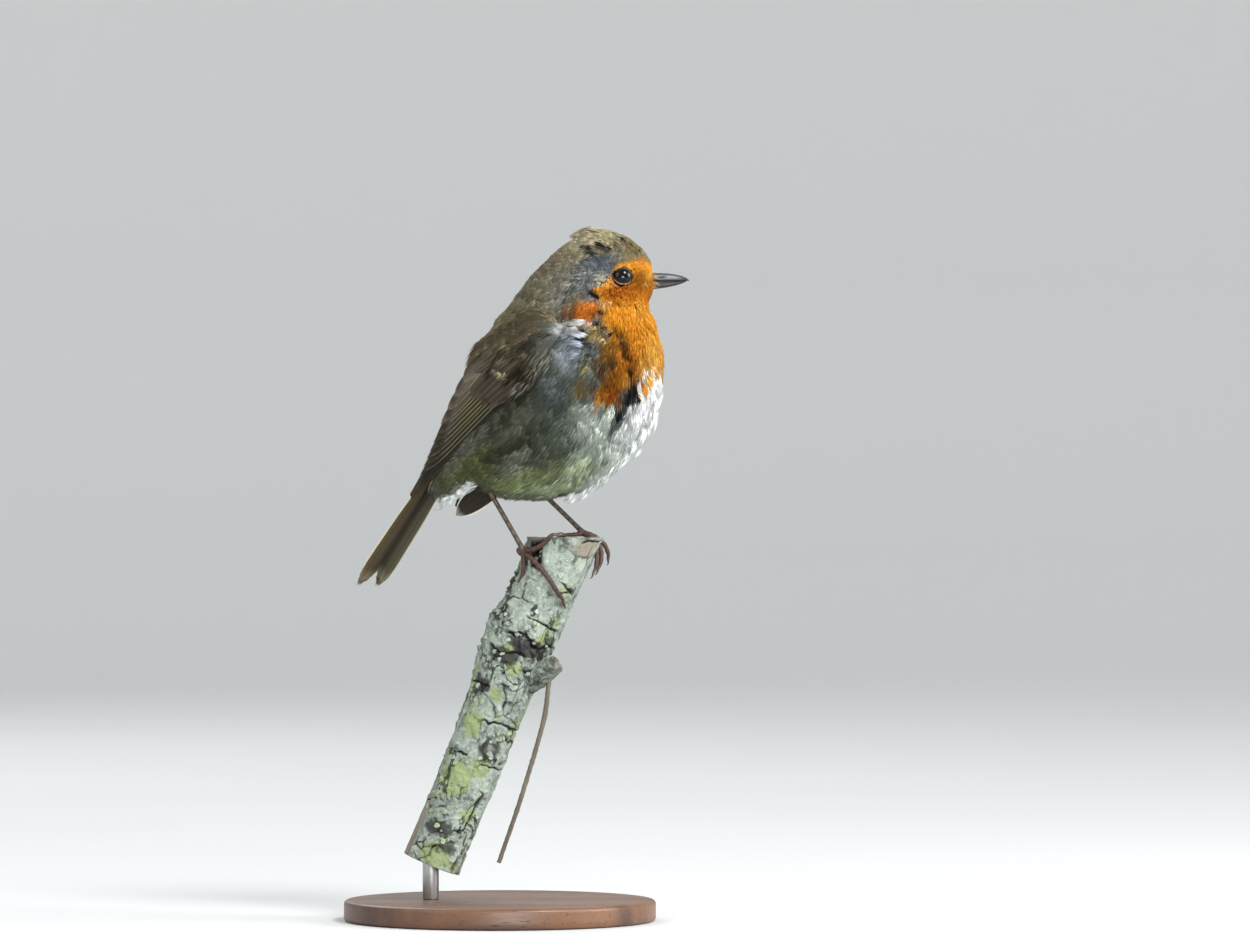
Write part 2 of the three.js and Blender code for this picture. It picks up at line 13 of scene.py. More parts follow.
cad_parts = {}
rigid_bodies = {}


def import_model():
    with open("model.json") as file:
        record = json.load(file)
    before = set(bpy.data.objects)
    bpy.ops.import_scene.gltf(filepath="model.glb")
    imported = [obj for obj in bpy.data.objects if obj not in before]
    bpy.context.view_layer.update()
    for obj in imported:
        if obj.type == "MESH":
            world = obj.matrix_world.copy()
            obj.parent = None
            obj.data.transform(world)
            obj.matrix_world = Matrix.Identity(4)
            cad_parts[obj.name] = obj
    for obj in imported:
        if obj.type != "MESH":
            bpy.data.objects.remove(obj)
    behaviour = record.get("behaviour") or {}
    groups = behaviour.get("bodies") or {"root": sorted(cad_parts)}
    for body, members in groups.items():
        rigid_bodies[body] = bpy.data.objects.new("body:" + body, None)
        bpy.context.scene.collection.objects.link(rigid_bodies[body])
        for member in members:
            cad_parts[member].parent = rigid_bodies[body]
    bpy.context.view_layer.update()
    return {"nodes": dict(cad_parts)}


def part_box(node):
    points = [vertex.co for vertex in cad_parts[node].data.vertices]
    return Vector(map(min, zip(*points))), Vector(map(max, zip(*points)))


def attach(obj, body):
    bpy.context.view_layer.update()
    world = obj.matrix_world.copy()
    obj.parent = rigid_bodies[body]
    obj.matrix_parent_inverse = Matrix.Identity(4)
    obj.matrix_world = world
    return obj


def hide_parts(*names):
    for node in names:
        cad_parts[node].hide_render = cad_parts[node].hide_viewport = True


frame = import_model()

MM = 0.001

# ---- The bird's form, in millimetres: the same sizes as the part's source ----

TRUNK_TURN = math.radians(-22)
TURN_AXIS_X = 26.0
NECK_LOW_Z, NECK_HIGH_Z = 166.0, 186.0
BIRD_Y = -8.0

# Where each section of the plumage meets the back and the belly, its half width, and how
# far down from the back it is widest, from under the tail to the bill.
BODY_SECTIONS = [
    ((-25.0, 127.5), (-20.5, 122.0), 1.6, 0.5),
    ((-22.6, 132.5), (-16.0, 124.2), 5.0, 0.5),
    ((-19.6, 139.5), (-8.0, 126.0), 10.0, 0.5),
    ((-16.5, 147.5), (2.5, 124.3), 15.5, 0.5),
    ((-13.2, 155.5), (14.5, 124.3), 19.6, 0.5),
    ((-9.6, 163.2), (28.0, 128.8), 21.8, 0.5),
    ((-5.6, 170.2), (39.9, 139.6), 22.6, 0.52),
    ((-1.2, 176.2), (46.6, 152.4), 21.8, 0.54),
    ((3.6, 182.0), (48.0, 164.5), 18.9, 0.54),
    ((8.5, 188.5), (46.6, 173.8), 15.8, 0.52),
    ((14.2, 194.6), (44.8, 179.5), 13.2, 0.52),
    ((21.5, 200.6), (44.2, 182.0), 10.9, 0.54),
    ((29.2, 203.3), (44.3, 183.2), 9.6, 0.56),
    ((36.0, 201.9), (44.7, 184.0), 7.9, 0.56),
    ((41.2, 198.3), (45.0, 184.6), 5.8, 0.56),
    ((44.3, 194.6), (45.3, 185.0), 3.9, 0.6),
    ((45.4, 191.2), (45.6, 185.6), 2.6, 0.5),
]
SECTIONS = len(BODY_SECTIONS) - 1
BODY_ROUND = 0.88

# Upper and lower edge of each section of the folded wing, from its bend to its tip.
WING_SECTIONS = [
    ((22.5, 174.4), (22.8, 172.0)),
    ((15.5, 177.6), (21.3, 167.0)),
    ((8.0, 177.0), (18.0, 160.5)),
    ((1.6, 172.6), (12.4, 155.3)),
    ((-4.0, 166.6), (5.8, 151.8)),
    ((-9.0, 159.4), (-0.5, 147.6)),
    ((-13.4, 151.4), (-6.6, 142.8)),
    ((-17.4, 143.8), (-12.8, 137.6)),
    ((-21.6, 136.4), (-18.6, 132.0)),
    ((-25.8, 129.5), (-24.1, 127.0)),
    ((-29.4, 123.4), (-28.8, 122.7)),
]
WING_BEND = (21.0, 171.0)
WINGS = {
    "right": {"side": -1, "droop": 0.0, "raise": 0.0, "fan": 0.0},
    "left": {"side": 1, "droop": math.radians(7), "raise": 2.2, "fan": 3.4},
}

TAIL_ROOT = np.array([-18.2, 0.0, 137.5])
TAIL_TIP = np.array([-44.2, 0.0, 98.9])
TAIL_ROLL = math.radians(24)

EYE_X, EYE_Z = 36.1, 189.3
EYE_SPAN = (2.95, 2.3)  # half the opening's length and height
EYE_SHIFT = (0.05, 0.1)
EYE_TILT = math.radians(-10)  # its front corner is the lower one
BILL = {"base": 43.6, "tip": 55.8, "tip_z": 188.3, "lower_tip": 54.8, "half": 2.3}
BILL_ABOVE = [(43.6, 190.8), (45.6, 190.65), (47.8, 190.6), (50.0, 190.45), (52.2, 190.1), (54.2, 189.5),
              (55.2, 188.95), (55.8, 188.35)]
BILL_BELOW = [(43.6, 185.6), (45.0, 185.75), (47.4, 186.05), (49.7, 186.45), (51.5, 186.85), (53.2, 187.35),
              (54.8, 188.0)]
GAPE_Z = 187.7

BRANCH_TOP = np.array([19.2, 0.0, 112.8])
BRANCH_FOOT = np.array([-20.4, 0.0, 16.5])
BRANCH_RADII = [8.7, 8.6, 8.5, 8.6, 9.0, 9.4, 9.5, 9.8, 10.5]
KNOTS = [(0.7, 175, 2.2, 0.07, 42), (0.6, 200, 1.3, 0.05, 40), (0.3, 60, 0.8, 0.06, 50)]
STUB = {"from": (8.4, -3, 69.5), "to": (16.4, -8.6, 75.9), "radius": 3.1}
STEM = {
    "radius": 0.8,
    "points": [(14.6, -7.2, 71), (13.4, -7.2, 61), (10.8, -7, 51), (8.1, -6.8, 42), (5.1, -6.6, 32.5),
               (2, -6.3, 23.6), (-0.2, -6, 17.2)],
}

BASE = {"radius": 46.0, "height": 6.0, "bevel": 1.2}
ROD = {"radius": 2.4, "x": -20.4, "low": 6.3, "high": 27.5}

LEGS = {
    "right": {"hip": (-3.6, -6.6, 134.0), "ankle": (-3.0, -7.2, 126.6), "foot": (7.0, -6.2, 109.2)},
    "left": {"hip": (9.6, 6.2, 133.0), "ankle": (13.2, 6.4, 125.2), "foot": (24.6, 2.6, 114.2)},
}
THIGH_RADII = (5.2, 1.5)  # at the hip and at the ankle
THIGH_COAT = 0.8  # how deep the tufts on it are
# Toes of the right foot lie on the bark, each place [below the top, angle, off the bark].
RIGHT_TOES = {
    "middle": ([(9.6, -34, 1.0), (12, -6, 0.9), (14.9, 18, 0.9), (17.2, 38, 0.9)], (19.4, 54, 0.3)),
    "inner": ([(6.4, -36, 1.6), (3.4, -24, 1.6), (0.6, -18, 1.6)], (-1.2, -2, -1.4)),
    "outer": ([(8.6, -82, 1.2), (9.4, -108, 1.0), (10, -128, 0.9)], (11.2, -150, 0.3)),
    "hind": ([(11.4, -50, 1.0), (14.6, -44, 0.9)], (17.6, -52, 0.3)),
}
LEFT_TOES = {
    "inner": ([(27.4, 0.4, 111.6), (28.6, -1.4, 107.6), (28.2, -2.6, 103.6)], (26.6, -3.2, 100.6)),
    "middle": ([(27.6, 2.4, 112.2), (29.8, 2.0, 109.0), (29.6, 1.2, 104.8)], (28.0, 0.6, 101.6)),
    "outer": ([(28.0, 4.4, 112.9), (30.8, 5.8, 110.6), (32.0, 7.2, 107.4)], (31.6, 8.4, 104.4)),
    "hind": ([(22.6, 1.6, 113.6), (19.6, 0.4, 113.5)], (16.6, -0.6, 113.1)),
}

FANS, NARROWS = 6, 2  # how many shapes of tuft open out, and how many after them draw to a point
BREAST_FROM, HEAD_FROM = 6.3, 10.6  # the body sections where the coat's regions change
COVER = 24.0  # how many tufts lie over each spot of the body
ROOT_LOW = -0.05  # how far a tuft's root lies under the skin
PATCH = 0.003  # a feather's share of its map
WING_SINK = 1.5  # how far the wing's hidden sheet lies inside it

# ---- Small numeric tools ----


def smooth(low, high, value):
    """0 below low, 1 above high, and an even rise between."""
    t = np.clip((np.asarray(value, float) - low) / (high - low), 0, 1)
    return t * t * (3 - 2 * t)


def unit(vectors):
    return vectors / np.maximum(np.linalg.norm(vectors, axis=-1, keepdims=True), 1e-12)


def circle(count):
    """Angles evenly round a full turn."""
    return 2 * np.pi * np.arange(count) / count


def spline(points):
    """A centripetal curve through points, read at shares of its points. It runs on straight past its ends."""
    p = np.asarray(points, float)
    last = len(p) - 1
    run = np.vstack([2 * p[0] - p[1], p, 2 * p[-1] - p[-2]])

    def inside(share):
        at = np.clip(share, 0, 1) * last
        i = np.minimum(np.floor(at).astype(int), last - 1)
        w = (at - i)[..., None]
        p0, p1, p2, p3 = run[i], run[i + 1], run[i + 2], run[i + 3]
        d0, d1, d2 = (np.maximum(((b - a) ** 2).sum(-1, keepdims=True), 1e-12) ** 0.25
                      for a, b in ((p0, p1), (p1, p2), (p2, p3)))
        t1 = ((p1 - p0) / d0 - (p2 - p0) / (d0 + d1) + (p2 - p1) / d1) * d1
        t2 = ((p2 - p1) / d1 - (p3 - p1) / (d1 + d2) + (p3 - p2) / d2) * d1
        return p1 + w * (t1 + w * ((-3 * p1 + 3 * p2 - 2 * t1 - t2) + w * (2 * p1 - 2 * p2 + t1 + t2)))

    def at(share):
        share = np.asarray(share, float)
        held = np.clip(share, 0, 1)
        here = inside(held)
        step = 1e-3
        slope = np.where((share > 1)[..., None], here - inside(held - step), inside(held + step) - here) / step
        return here + slope * (share - held)[..., None]

    return at


def noise(points, size, seed):
    """Smooth noise from -1 to 1 at each point, with features about one size across."""
    lattice = np.random.default_rng(seed).uniform(-1, 1, (32, 32, 32))
    p = np.asarray(points, float) / size
    i = np.floor(p).astype(int)
    f = p - i
    f = f * f * (3 - 2 * f)
    total = 0
    for corner in np.ndindex(2, 2, 2):
        wx, wy, wz = (f[..., k] if corner[k] else 1 - f[..., k] for k in range(3))
        total = total + wx * wy * wz * lattice[tuple((i[..., k] + corner[k]) % 32 for k in range(3))]
    return total


def linear(colour):
    """A colour given as 0 to 255, as the linear light that shaders use."""
    c = np.asarray(colour, float) / 255
    return np.where(c <= 0.04045, c / 12.92, ((c + 0.055) / 1.055) ** 2.4)


def trunk_turn(p):
    """The cosine and sine of the trunk's turn at each place. The head is not turned."""
    angle = TRUNK_TURN * (1 - smooth(NECK_LOW_Z, NECK_HIGH_Z, p[..., 2]))
    return np.cos(angle), np.sin(angle)


def pose(points):
    """Turns points of the straight bird to their place in the pose."""
    p = np.asarray(points, float)
    c, s = trunk_turn(p)
    x = p[..., 0] - TURN_AXIS_X
    return np.stack([TURN_AXIS_X + x * c - p[..., 1] * s, BIRD_Y + x * s + p[..., 1] * c, p[..., 2]], -1)


def unpose(points):
    """The straight bird's place for points in the pose."""
    p = np.asarray(points, float)
    c, s = trunk_turn(p)
    x, y = p[..., 0] - TURN_AXIS_X, p[..., 1] - BIRD_Y
    return np.stack([TURN_AXIS_X + x * c + y * s, -x * s + y * c, p[..., 2]], -1)


back_line = spline([(b[0], 0, b[1]) for b, _, _, _ in BODY_SECTIONS])
belly_line = spline([(b[0], 0, b[1]) for _, b, _, _ in BODY_SECTIONS])
girth = spline([(half, widest, 0) for _, _, half, widest in BODY_SECTIONS])


def body_point(section, angle):
    """A point of the plumage's outer form, unturned. The angle runs from the back over the left side."""
    share = np.asarray(section, float) / SECTIONS
    back, belly, size = back_line(share), belly_line(share), girth(share)
    middle = back + (belly - back) * size[..., 1:2]
    c, s = np.cos(angle)[..., None], np.sin(angle)[..., None]
    point = middle + (np.where(c > 0, back, belly) - middle) * np.abs(c) ** BODY_ROUND
    point[..., 1] = size[..., 0] * np.sign(s[..., 0]) * np.abs(s[..., 0]) ** BODY_ROUND
    return point


def coat_depth(section, angle):
    """How deep the coat is, in millimetres."""
    lower = 0.5 - 0.5 * np.cos(angle)
    body = 1.2 + 1.1 * lower
    head = 0.95 - 0.4 * smooth(0.1, 0.45, lower)
    depth = body + (head - body) * smooth(9.2, 12.0, section)
    return depth * (0.35 + 0.65 * smooth(0, 1.2, section)) * (1 - 0.35 * smooth(14.5, 16, section))


def body_frame(section, angle):
    """The posed outer form at each section and angle: point, outward normal and the way feathers lie."""
    h = 1e-3
    at = pose(body_point(section, angle))
    along = pose(body_point(section + h, angle)) - pose(body_point(section - h, angle))
    around = pose(body_point(section, angle + h)) - pose(body_point(section, angle - h))
    return at, unit(np.cross(along, around)), -unit(along)


# ---- Meshes ----


def grid_faces(rows, columns, wrap=False):
    """Four-sided faces over a grid of points, row by row."""
    row, column = np.meshgrid(np.arange(rows - 1), np.arange(columns if wrap else columns - 1), indexing="ij")
    a = row * columns + column
    b = row * columns + (column + 1) % columns
    return np.stack([a, b, b + columns, a + columns], -1).reshape(-1, 4).tolist()


def close_ends(points, rows, columns):
    """A closed skin over rings of points: faces between them, and a middle point and a fan at each end."""
    faces = grid_faces(rows, columns, wrap=True)
    first, last = points[:columns].mean(0), points[-columns:].mean(0)
    n = len(points)
    for j in range(columns):
        k = (j + 1) % columns
        faces.append([n, k, j])
        faces.append([n + 1, (rows - 1) * columns + j, (rows - 1) * columns + k])
    return np.vstack([points, first, last]), faces


def two_layers(rows, columns, step=1):
    """Faces of two grids of points, the second behind the first, closed round their rim."""
    n = rows * columns
    grid = grid_faces(rows, columns)
    rim = [*range(columns - 1), *range(columns - 1, n - 1, columns), *range(n - 1, n - columns, -1),
           *range(n - columns, 0, -columns)]
    return ([face[::step] for face in grid] + [[n + i for i in face[::-step]] for face in grid]
            + [[i, j, n + j, n + i] for i, j in zip(rim, rim[1:] + rim[:1])])


def mesh_from(name, points, faces, smooth_shade=True, outward=True):
    """A mesh from points in millimetres, with its faces turned outward."""
    mesh = bpy.data.meshes.new(name)
    mesh.from_pydata((np.asarray(points) * MM).tolist(), [], faces)
    if outward:
        shell = bmesh.new()
        shell.from_mesh(mesh)
        bmesh.ops.recalc_face_normals(shell, faces=shell.faces)
        shell.to_mesh(mesh)
        shell.free()
    mesh.polygons.foreach_set("use_smooth", [smooth_shade] * len(mesh.polygons))
    mesh.update()
    return mesh


def write_values(mesh, name, kind, values):
    """Stores one value for each point of a mesh."""
    field = {"FLOAT": "value", "INT": "value", "FLOAT_VECTOR": "vector", "FLOAT_COLOR": "color"}[kind]
    made = mesh.attributes.new(name, kind, "POINT")
    values = np.asarray(values)
    if kind == "FLOAT_COLOR":
        values = np.concatenate([values, np.ones((len(values), 1))], -1)
    made.data.foreach_set(field, values.astype(np.int32 if kind == "INT" else np.float32).ravel())


def read_values(mesh, name, width):
    """The values stored for each point of a mesh."""
    data = mesh.attributes[name].data
    values = np.zeros(len(data) * width, np.float32)
    data.foreach_get("vector" if width == 3 else "value", values)
    return values.reshape(-1, width)


def write_map(mesh, name, values):
    """Stores a UV map from one pair for each point."""
    corners = np.zeros(len(mesh.loops), np.int32)
    mesh.loops.foreach_get("vertex_index", corners)
    layer = mesh.uv_layers.new(name=name)
    layer.uv.foreach_set("vector", np.asarray(values, np.float32)[corners].ravel())


def fit(values):
    """Pairs stretched to fill a square map."""
    low, high = values.min(0), values.max(0)
    return 0.01 + 0.98 * (values - low) / np.maximum(high - low, 1e-9)


def hold(name, data):
    """A new object in the scene."""
    made = bpy.data.objects.new(name, data)
    bpy.context.scene.collection.objects.link(made)
    return made


def make_piece(name, mesh, material, nodes=()):
    """A finished piece of the model that stands for these nodes."""
    made = hold(name, mesh)
    if material:
        mesh.materials.clear()
        mesh.materials.append(material)
    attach(made, "root")
    if nodes:
        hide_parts(*nodes)
    return made


def join_shells(shells):
    """One list of points and one of faces out of several."""
    points, faces, start = [], [], 0
    for shell_points, shell_faces in shells:
        points.append(np.asarray(shell_points))
        faces += [[start + i for i in face] for face in shell_faces]
        start += len(shell_points)
    return np.vstack(points), faces


def tube(route, radius, rings=40, sides=14, flatten=None):
    """A closed round tube along a spline of points. radius takes the share along it and the angles round it."""
    line = spline(route)
    fine = line(np.linspace(0, 1, 400))
    run = np.concatenate([[0], np.cumsum(np.linalg.norm(np.diff(fine, axis=0), axis=1))])
    shares = np.linspace(0, 1, rings)
    centres = np.stack([np.interp(shares * run[-1], run, fine[:, k]) for k in range(3)], -1)
    ahead = unit(np.gradient(centres, axis=0))
    side = unit(np.cross(ahead[0], [0.0, 0.0, 1.0]) + 1e-9)
    rows = []
    angles = circle(sides)
    for i in range(rings):
        side = unit(side - ahead[i] * (side @ ahead[i]))
        up = np.cross(side, ahead[i])
        reach = radius(shares[i], angles)
        tall = reach if flatten is None else reach * flatten
        rows.append(centres[i] + np.outer(np.cos(angles) * reach, side) + np.outer(np.sin(angles) * tall, up))
    return close_ends(np.vstack(rows), rings, sides)


# ---- Node expressions ----


class Value:
    """A socket that adds its own Math nodes when it is used in an expression."""

    def __init__(self, nodes, socket):
        self.nodes, self.socket = nodes, socket

    def math(self, operation, *others):
        return self.nodes.add("ShaderNodeMath", {"operation": operation}, dict(enumerate((self, *others))))

    def __add__(self, other):
        return self.math("ADD", other)

    __radd__ = __add__

    def __sub__(self, other):
        return self.math("SUBTRACT", other)

    def __rsub__(self, other):
        return self.nodes.add("ShaderNodeMath", {"operation": "SUBTRACT"}, {0: other, 1: self})

    def __mul__(self, other):
        return self.math("MULTIPLY", other)

    __rmul__ = __mul__

    def __truediv__(self, other):
        return self.math("DIVIDE", other)

    def __pow__(self, other):
        return self.math("POWER", other)

    def rise(self, low, high):
        """0 below low, 1 above high, with an even rise between."""
        settings = {"interpolation_type": "SMOOTHSTEP"}
        return self.nodes.add("ShaderNodeMapRange", settings, {"Value": self, "From Min": low, "From Max": high})


class Nodes:
    """A node tree that is filled by one method."""

    def __init__(self, tree):
        self.tree = tree

    def add(self, kind, settings=None, inputs=None, output=0):
        """Adds a node: its settings first, then the values or links of its sockets. It returns one output."""
        node = self.tree.nodes.new(kind)
        for name, value in (settings or {}).items():
            if name == "stops":
                ramp = node.color_ramp.elements
                while len(ramp) < len(value):
                    ramp.new(1.0)
                for stop, (place, colour) in zip(ramp, value):
                    stop.position, stop.color = place, (*colour, 1.0)
            else:
                setattr(node, name, value)
        for key, value in (inputs or {}).items():
            if isinstance(value, Value):
                self.tree.links.new(value.socket, node.inputs[key])
            elif value is not None:
                node.inputs[key].default_value = value
        return Value(self, node.outputs[output])


class Paint(Nodes):
    """A material. Its even settings sit on the shader, and what varies is linked by surface()."""

    def __init__(self, name, **shader):
        self.material = bpy.data.materials.new(name)
        self.material.use_nodes = True
        super().__init__(self.material.node_tree)
        self.shader = self.tree.nodes["Principled BSDF"]
        for key, value in shader.items():
            self.shader.inputs[key.replace("_", " ")].default_value = value
        self.place = self.add("ShaderNodeTexCoord", output="Object")

    def stored(self, name, output="Fac"):
        return self.add("ShaderNodeAttribute", {"attribute_name": name}, output=output)

    def stretched(self, scale, turn=(0, 0, 0), vector=None):
        """Coordinates stretched by a Mapping node."""
        inputs = {"Vector": vector or self.place, "Scale": scale, "Rotation": turn}
        return self.add("ShaderNodeMapping", {}, inputs)

    def speckle(self, scale, detail=3.0, rough=0.5, vector=None, warp=0.0):
        inputs = {"Vector": vector or self.place, "Scale": scale, "Detail": detail, "Roughness": rough,
                  "Distortion": warp}
        return self.add("ShaderNodeTexNoise", {}, inputs)

    def cells(self, scale, feature="F1", vector=None, jitter=1.0):
        inputs = {"Vector": vector or self.place, "Scale": scale, "Randomness": jitter}
        return self.add("ShaderNodeTexVoronoi", {"feature": feature}, inputs)

    def blend(self, share, under, over, kind="MIX"):
        """One colour over another, by a share."""
        under, over = ((*c, 1.0) if isinstance(c, (tuple, list, np.ndarray)) else c for c in (under, over))
        return self.add("ShaderNodeMix", {"data_type": "RGBA", "blend_type": kind, "clamp_factor": True},
                        {0: share, 6: under, 7: over}, output=2)

    def scaled(self, colour, share):
        """A colour made lighter or darker by a value."""
        return self.add("ShaderNodeVectorMath", {"operation": "SCALE"}, {0: colour, "Scale": share})

    def capped(self, colour, most):
        """A colour that is nowhere lighter than this."""
        return self.add("ShaderNodeVectorMath", {"operation": "MINIMUM"}, {0: colour, 1: (most, most, most)})

    def surface(self, colour=None, roughness=None, relief=None, depth=0.0001, alpha=None):
        links = {"Base Color": colour, "Roughness": roughness}
        if relief is not None:
            links["Normal"] = self.add("ShaderNodeBump", {}, {"Strength": 1.0, "Distance": depth, "Height": relief})
        for key, value in links.items():
            if isinstance(value, Value):
                self.tree.links.new(value.socket, self.shader.inputs[key])
        return self.material


def tone(*colour):
    return tuple(float(c) for c in linear(colour))


# ---- Materials ----


def plumage_paint(name, roughness=0.9):
    """Loose body feathers: the stored colour, darker at the root as painted shade under the overlapping tufts, each
    barb a little its own.
    """
    paint = Paint(name, Roughness=roughness, Specular_IOR_Level=0.12)
    barb, lift = paint.stored("shade"), paint.stored("lift")
    grain = paint.speckle(900.0, 2.0)
    tint = paint.stored("tint", "Color")
    # Painted shade: each barb darkens towards its root, where other tufts lie over it; white feathers darken less.
    light = (0.54 + 0.52 * lift) * (1.0 + 0.20 * barb) * (0.91 + 0.18 * grain)
    white = paint.add("ShaderNodeSeparateColor", {}, {0: tint}, "Blue").rise(0.45, 0.8)
    colour = paint.capped(paint.scaled(tint, light + (1.06 - light) * white * 0.75), 0.95)
    return paint.surface(colour, relief=paint.speckle(2600.0, 2.0), depth=0.00006)


def vane_paint(name):
    """Firm feathers: a shaft, slanting barbs, a pale outer edge and a worn tip, on the feather's own map."""
    paint = Paint(name, Roughness=0.68, Specular_IOR_Level=0.2)
    across, along = paint.stored("across"), paint.stored("along")
    edge, tip = paint.stored("edge"), paint.stored("tip")
    slant = paint.add("ShaderNodeCombineXYZ", {},
                      {0: along * 60.0 + across.math("ABSOLUTE") * 9.0, 1: paint.stored("shade") * 10.0})
    barbs = paint.speckle(1.0, 2.0, vector=slant)
    side, outward = across.math("ABSOLUTE"), across * paint.stored("hand")
    shaft = 1 - side.rise(0.03, 0.12)
    base = paint.stored("tint", "Color")
    inner = (0 - outward).rise(-0.1, 0.9)
    light = (0.82 + 0.36 * barbs) * (1.0 + 0.10 * paint.stored("shade")) * (1.0 - 0.45 * inner)
    web = paint.scaled(base, light)
    web = paint.blend(shaft * 0.6, web, tone(44, 34, 26))
    outer_rim = outward.rise(0.80, 0.92) * edge.math("MINIMUM", 1.0)
    both_rims = side.rise(0.83, 0.92) * (edge - 1.0).math("MAXIMUM", 0.0)
    end = along.rise(0.86, 0.97) * tip
    web = paint.blend((outer_rim + both_rims).math("MAXIMUM", end), web, paint.stored("fringe", "Color"))
    return paint.surface(web, relief=barbs + shaft * 1.5, depth=0.00008)


def skin_paint():
    paint = Paint("down", Roughness=0.95, Specular_IOR_Level=0.1)
    down = paint.speckle(1400.0, 3.0)
    colour = paint.scaled(paint.stored("tint", "Color"), 0.45 + 0.4 * down)
    return paint.surface(colour, relief=down, depth=0.0002)


def eye_paint():
    """A dark wet eye: a black pupil in a very dark brown iris."""
    paint = Paint("wet_eye", Roughness=0.06, Specular_IOR_Level=0.26)
    ring = paint.stored("ring")
    fleck = paint.speckle(1500.0, 3.0)
    iris = paint.blend(fleck, (0.0030, 0.0020, 0.0015), (0.007, 0.004, 0.0025))
    colour = paint.blend(ring.rise(0.52, 0.60), (0.0012, 0.0012, 0.0012), iris)
    return paint.surface(colour)


def lid_paint():
    """Bare dark lid skin with fine folds and a broken pale rim."""
    paint = Paint("eyelid", Roughness=0.55)
    folds = paint.speckle(1800.0, 3.0)
    rim = paint.stored("rim")
    dark = paint.blend(folds, tone(14, 12, 11), tone(40, 32, 26))
    pale = paint.blend(folds, tone(196, 156, 92), tone(236, 214, 160))
    colour = paint.blend(rim * folds.rise(0.42, 0.52), dark, pale)
    colour = paint.blend(paint.stored("down"), colour, paint.blend(folds, tone(120, 62, 12), tone(214, 128, 36)))
    return paint.surface(colour, relief=folds, depth=0.00012)


def bill_paint():
    """Dark horn with growth lines and worn edges, and a painted highlight: a pale sheen along the upper side."""
    paint = Paint("bill_horn", Roughness=0.4, Specular_IOR_Level=0.3)
    lines = paint.speckle(420.0, 3.0, vector=paint.stretched((0.25, 2.0, 2.0)))
    fine = paint.speckle(2200.0, 2.0)
    pale, slit = paint.stored("pale"), paint.stored("slit")
    horn = paint.blend(lines, tone(18, 16, 18), tone(40, 38, 40))
    # The pale share paints a highlight: a sheen along the upper mandible's flank and ridge.
    horn = paint.blend(pale * (0.35 + 0.6 * lines), horn, tone(140, 139, 144))
    horn = paint.blend(slit, horn, tone(12, 10, 10))
    return paint.surface(horn, roughness=0.38 + 0.25 * fine, relief=lines + 0.5 * fine, depth=0.00008)


def leg_paint(name, dark, light, roughness=0.5):
    """Scaled skin of the legs and toes, with dark joints between the plates and a painted sheen down their front.
    """
    paint = Paint(name, Roughness=roughness, Specular_IOR_Level=0.4)
    grain, fine = paint.speckle(700.0, 3.0), paint.speckle(3200.0, 2.0)
    joint, pale = paint.stored("joint"), paint.stored("pale")
    colour = paint.blend(grain, tone(*dark), tone(*light))
    # Painted highlight: the stored pale share lightens the plates down the front like a sheen.
    colour = paint.blend(pale * 0.35, colour, tone(130, 110, 88))
    colour = paint.blend(joint * 0.45, colour, tone(26, 16, 13))
    return paint.surface(colour, roughness=0.42 + 0.3 * fine, relief=fine + grain, depth=0.00008)


def claw_paint():
    paint = Paint("claw_horn", Roughness=0.32)
    lines = paint.speckle(900.0, 3.0)
    colour = paint.blend(lines, tone(30, 22, 18), tone(84, 62, 46))
    return paint.surface(colour, roughness=0.28 + 0.2 * lines, relief=lines, depth=0.00005)


def bark_paint():
    """Grey bark under pale lichen, with fissures, dark stains, yellow-green crusts and peeled wood, and painted
    shade in the hollow of the cut top.
    """
    paint = Paint("bark_with_lichen", Roughness=0.95, Specular_IOR_Level=0.12)
    crack, bare = paint.stored("crack"), paint.stored("bare")
    dark, green = paint.stored("dark"), paint.stored("green")
    leaning = paint.stretched((1, 1, 0.55), (0, -0.39, 0))
    grain = paint.speckle(300.0, 9.0, 0.68)
    fine = paint.speckle(1100.0, 6.0, 0.72)
    mottle = paint.speckle(130.0, 6.0, 0.62, warp=0.5)
    wander = (paint.speckle(150.0, 7.0, 0.60, vector=leaning, warp=0.7) - 0.5).math("ABSOLUTE")
    fissure = (1 - wander.rise(0.004, 0.030)) * paint.speckle(70.0, 3.0).rise(0.44, 0.62)
    pits = grain.rise(0.36, 0.30) * 0.8
    bark = paint.blend(grain, tone(38, 36, 36), tone(96, 90, 88))
    lichen = paint.blend((fine * 0.6 + mottle * 0.5).rise(0.30, 0.80), tone(88, 98, 91), tone(170, 180, 168))
    lichen = paint.blend((green * (0.15 + 1.5 * mottle * (0.5 + fine))).rise(0.30, 0.75) * 0.8, lichen,
                         tone(130, 143, 92))
    cover = (mottle * 0.7 + grain * 0.7).rise(0.50, 0.66)
    colour = paint.blend(cover, bark, lichen)
    colour = paint.blend((dark * (0.35 + 1.3 * grain)).rise(0.20, 0.95) * 0.92, colour, tone(44, 42, 44))
    colour = paint.blend(((fissure + pits) * 0.85).math("MINIMUM", 1.0), colour, tone(34, 31, 30))
    fibre = paint.speckle(500.0, 5.0, vector=paint.stretched((1, 1, 0.12), (0, -0.39, 0)))
    colour = paint.blend(bare, colour, paint.blend(fibre, tone(98, 88, 77), tone(156, 151, 137)))
    # Dark in the cracks, and painted shade on the walls of the hollow in the cut top.
    colour = paint.blend(crack * (0.6 + 0.8 * grain), colour, tone(24, 21, 20))
    return paint.surface(colour, relief=grain * 1.3 + fine * 0.9 + mottle - fissure * 0.8, depth=0.0006)


def stem_paint():
    paint = Paint("stem_bark", Roughness=0.8)
    grain = paint.speckle(500.0, 5.0, vector=paint.stretched((1, 1, 0.2)))
    fine = paint.speckle(2400.0, 3.0)
    colour = paint.blend(grain, tone(38, 34, 28), tone(112, 104, 88))
    return paint.surface(colour, roughness=0.7 + 0.25 * fine, relief=grain + fine * 0.5, depth=0.0002)


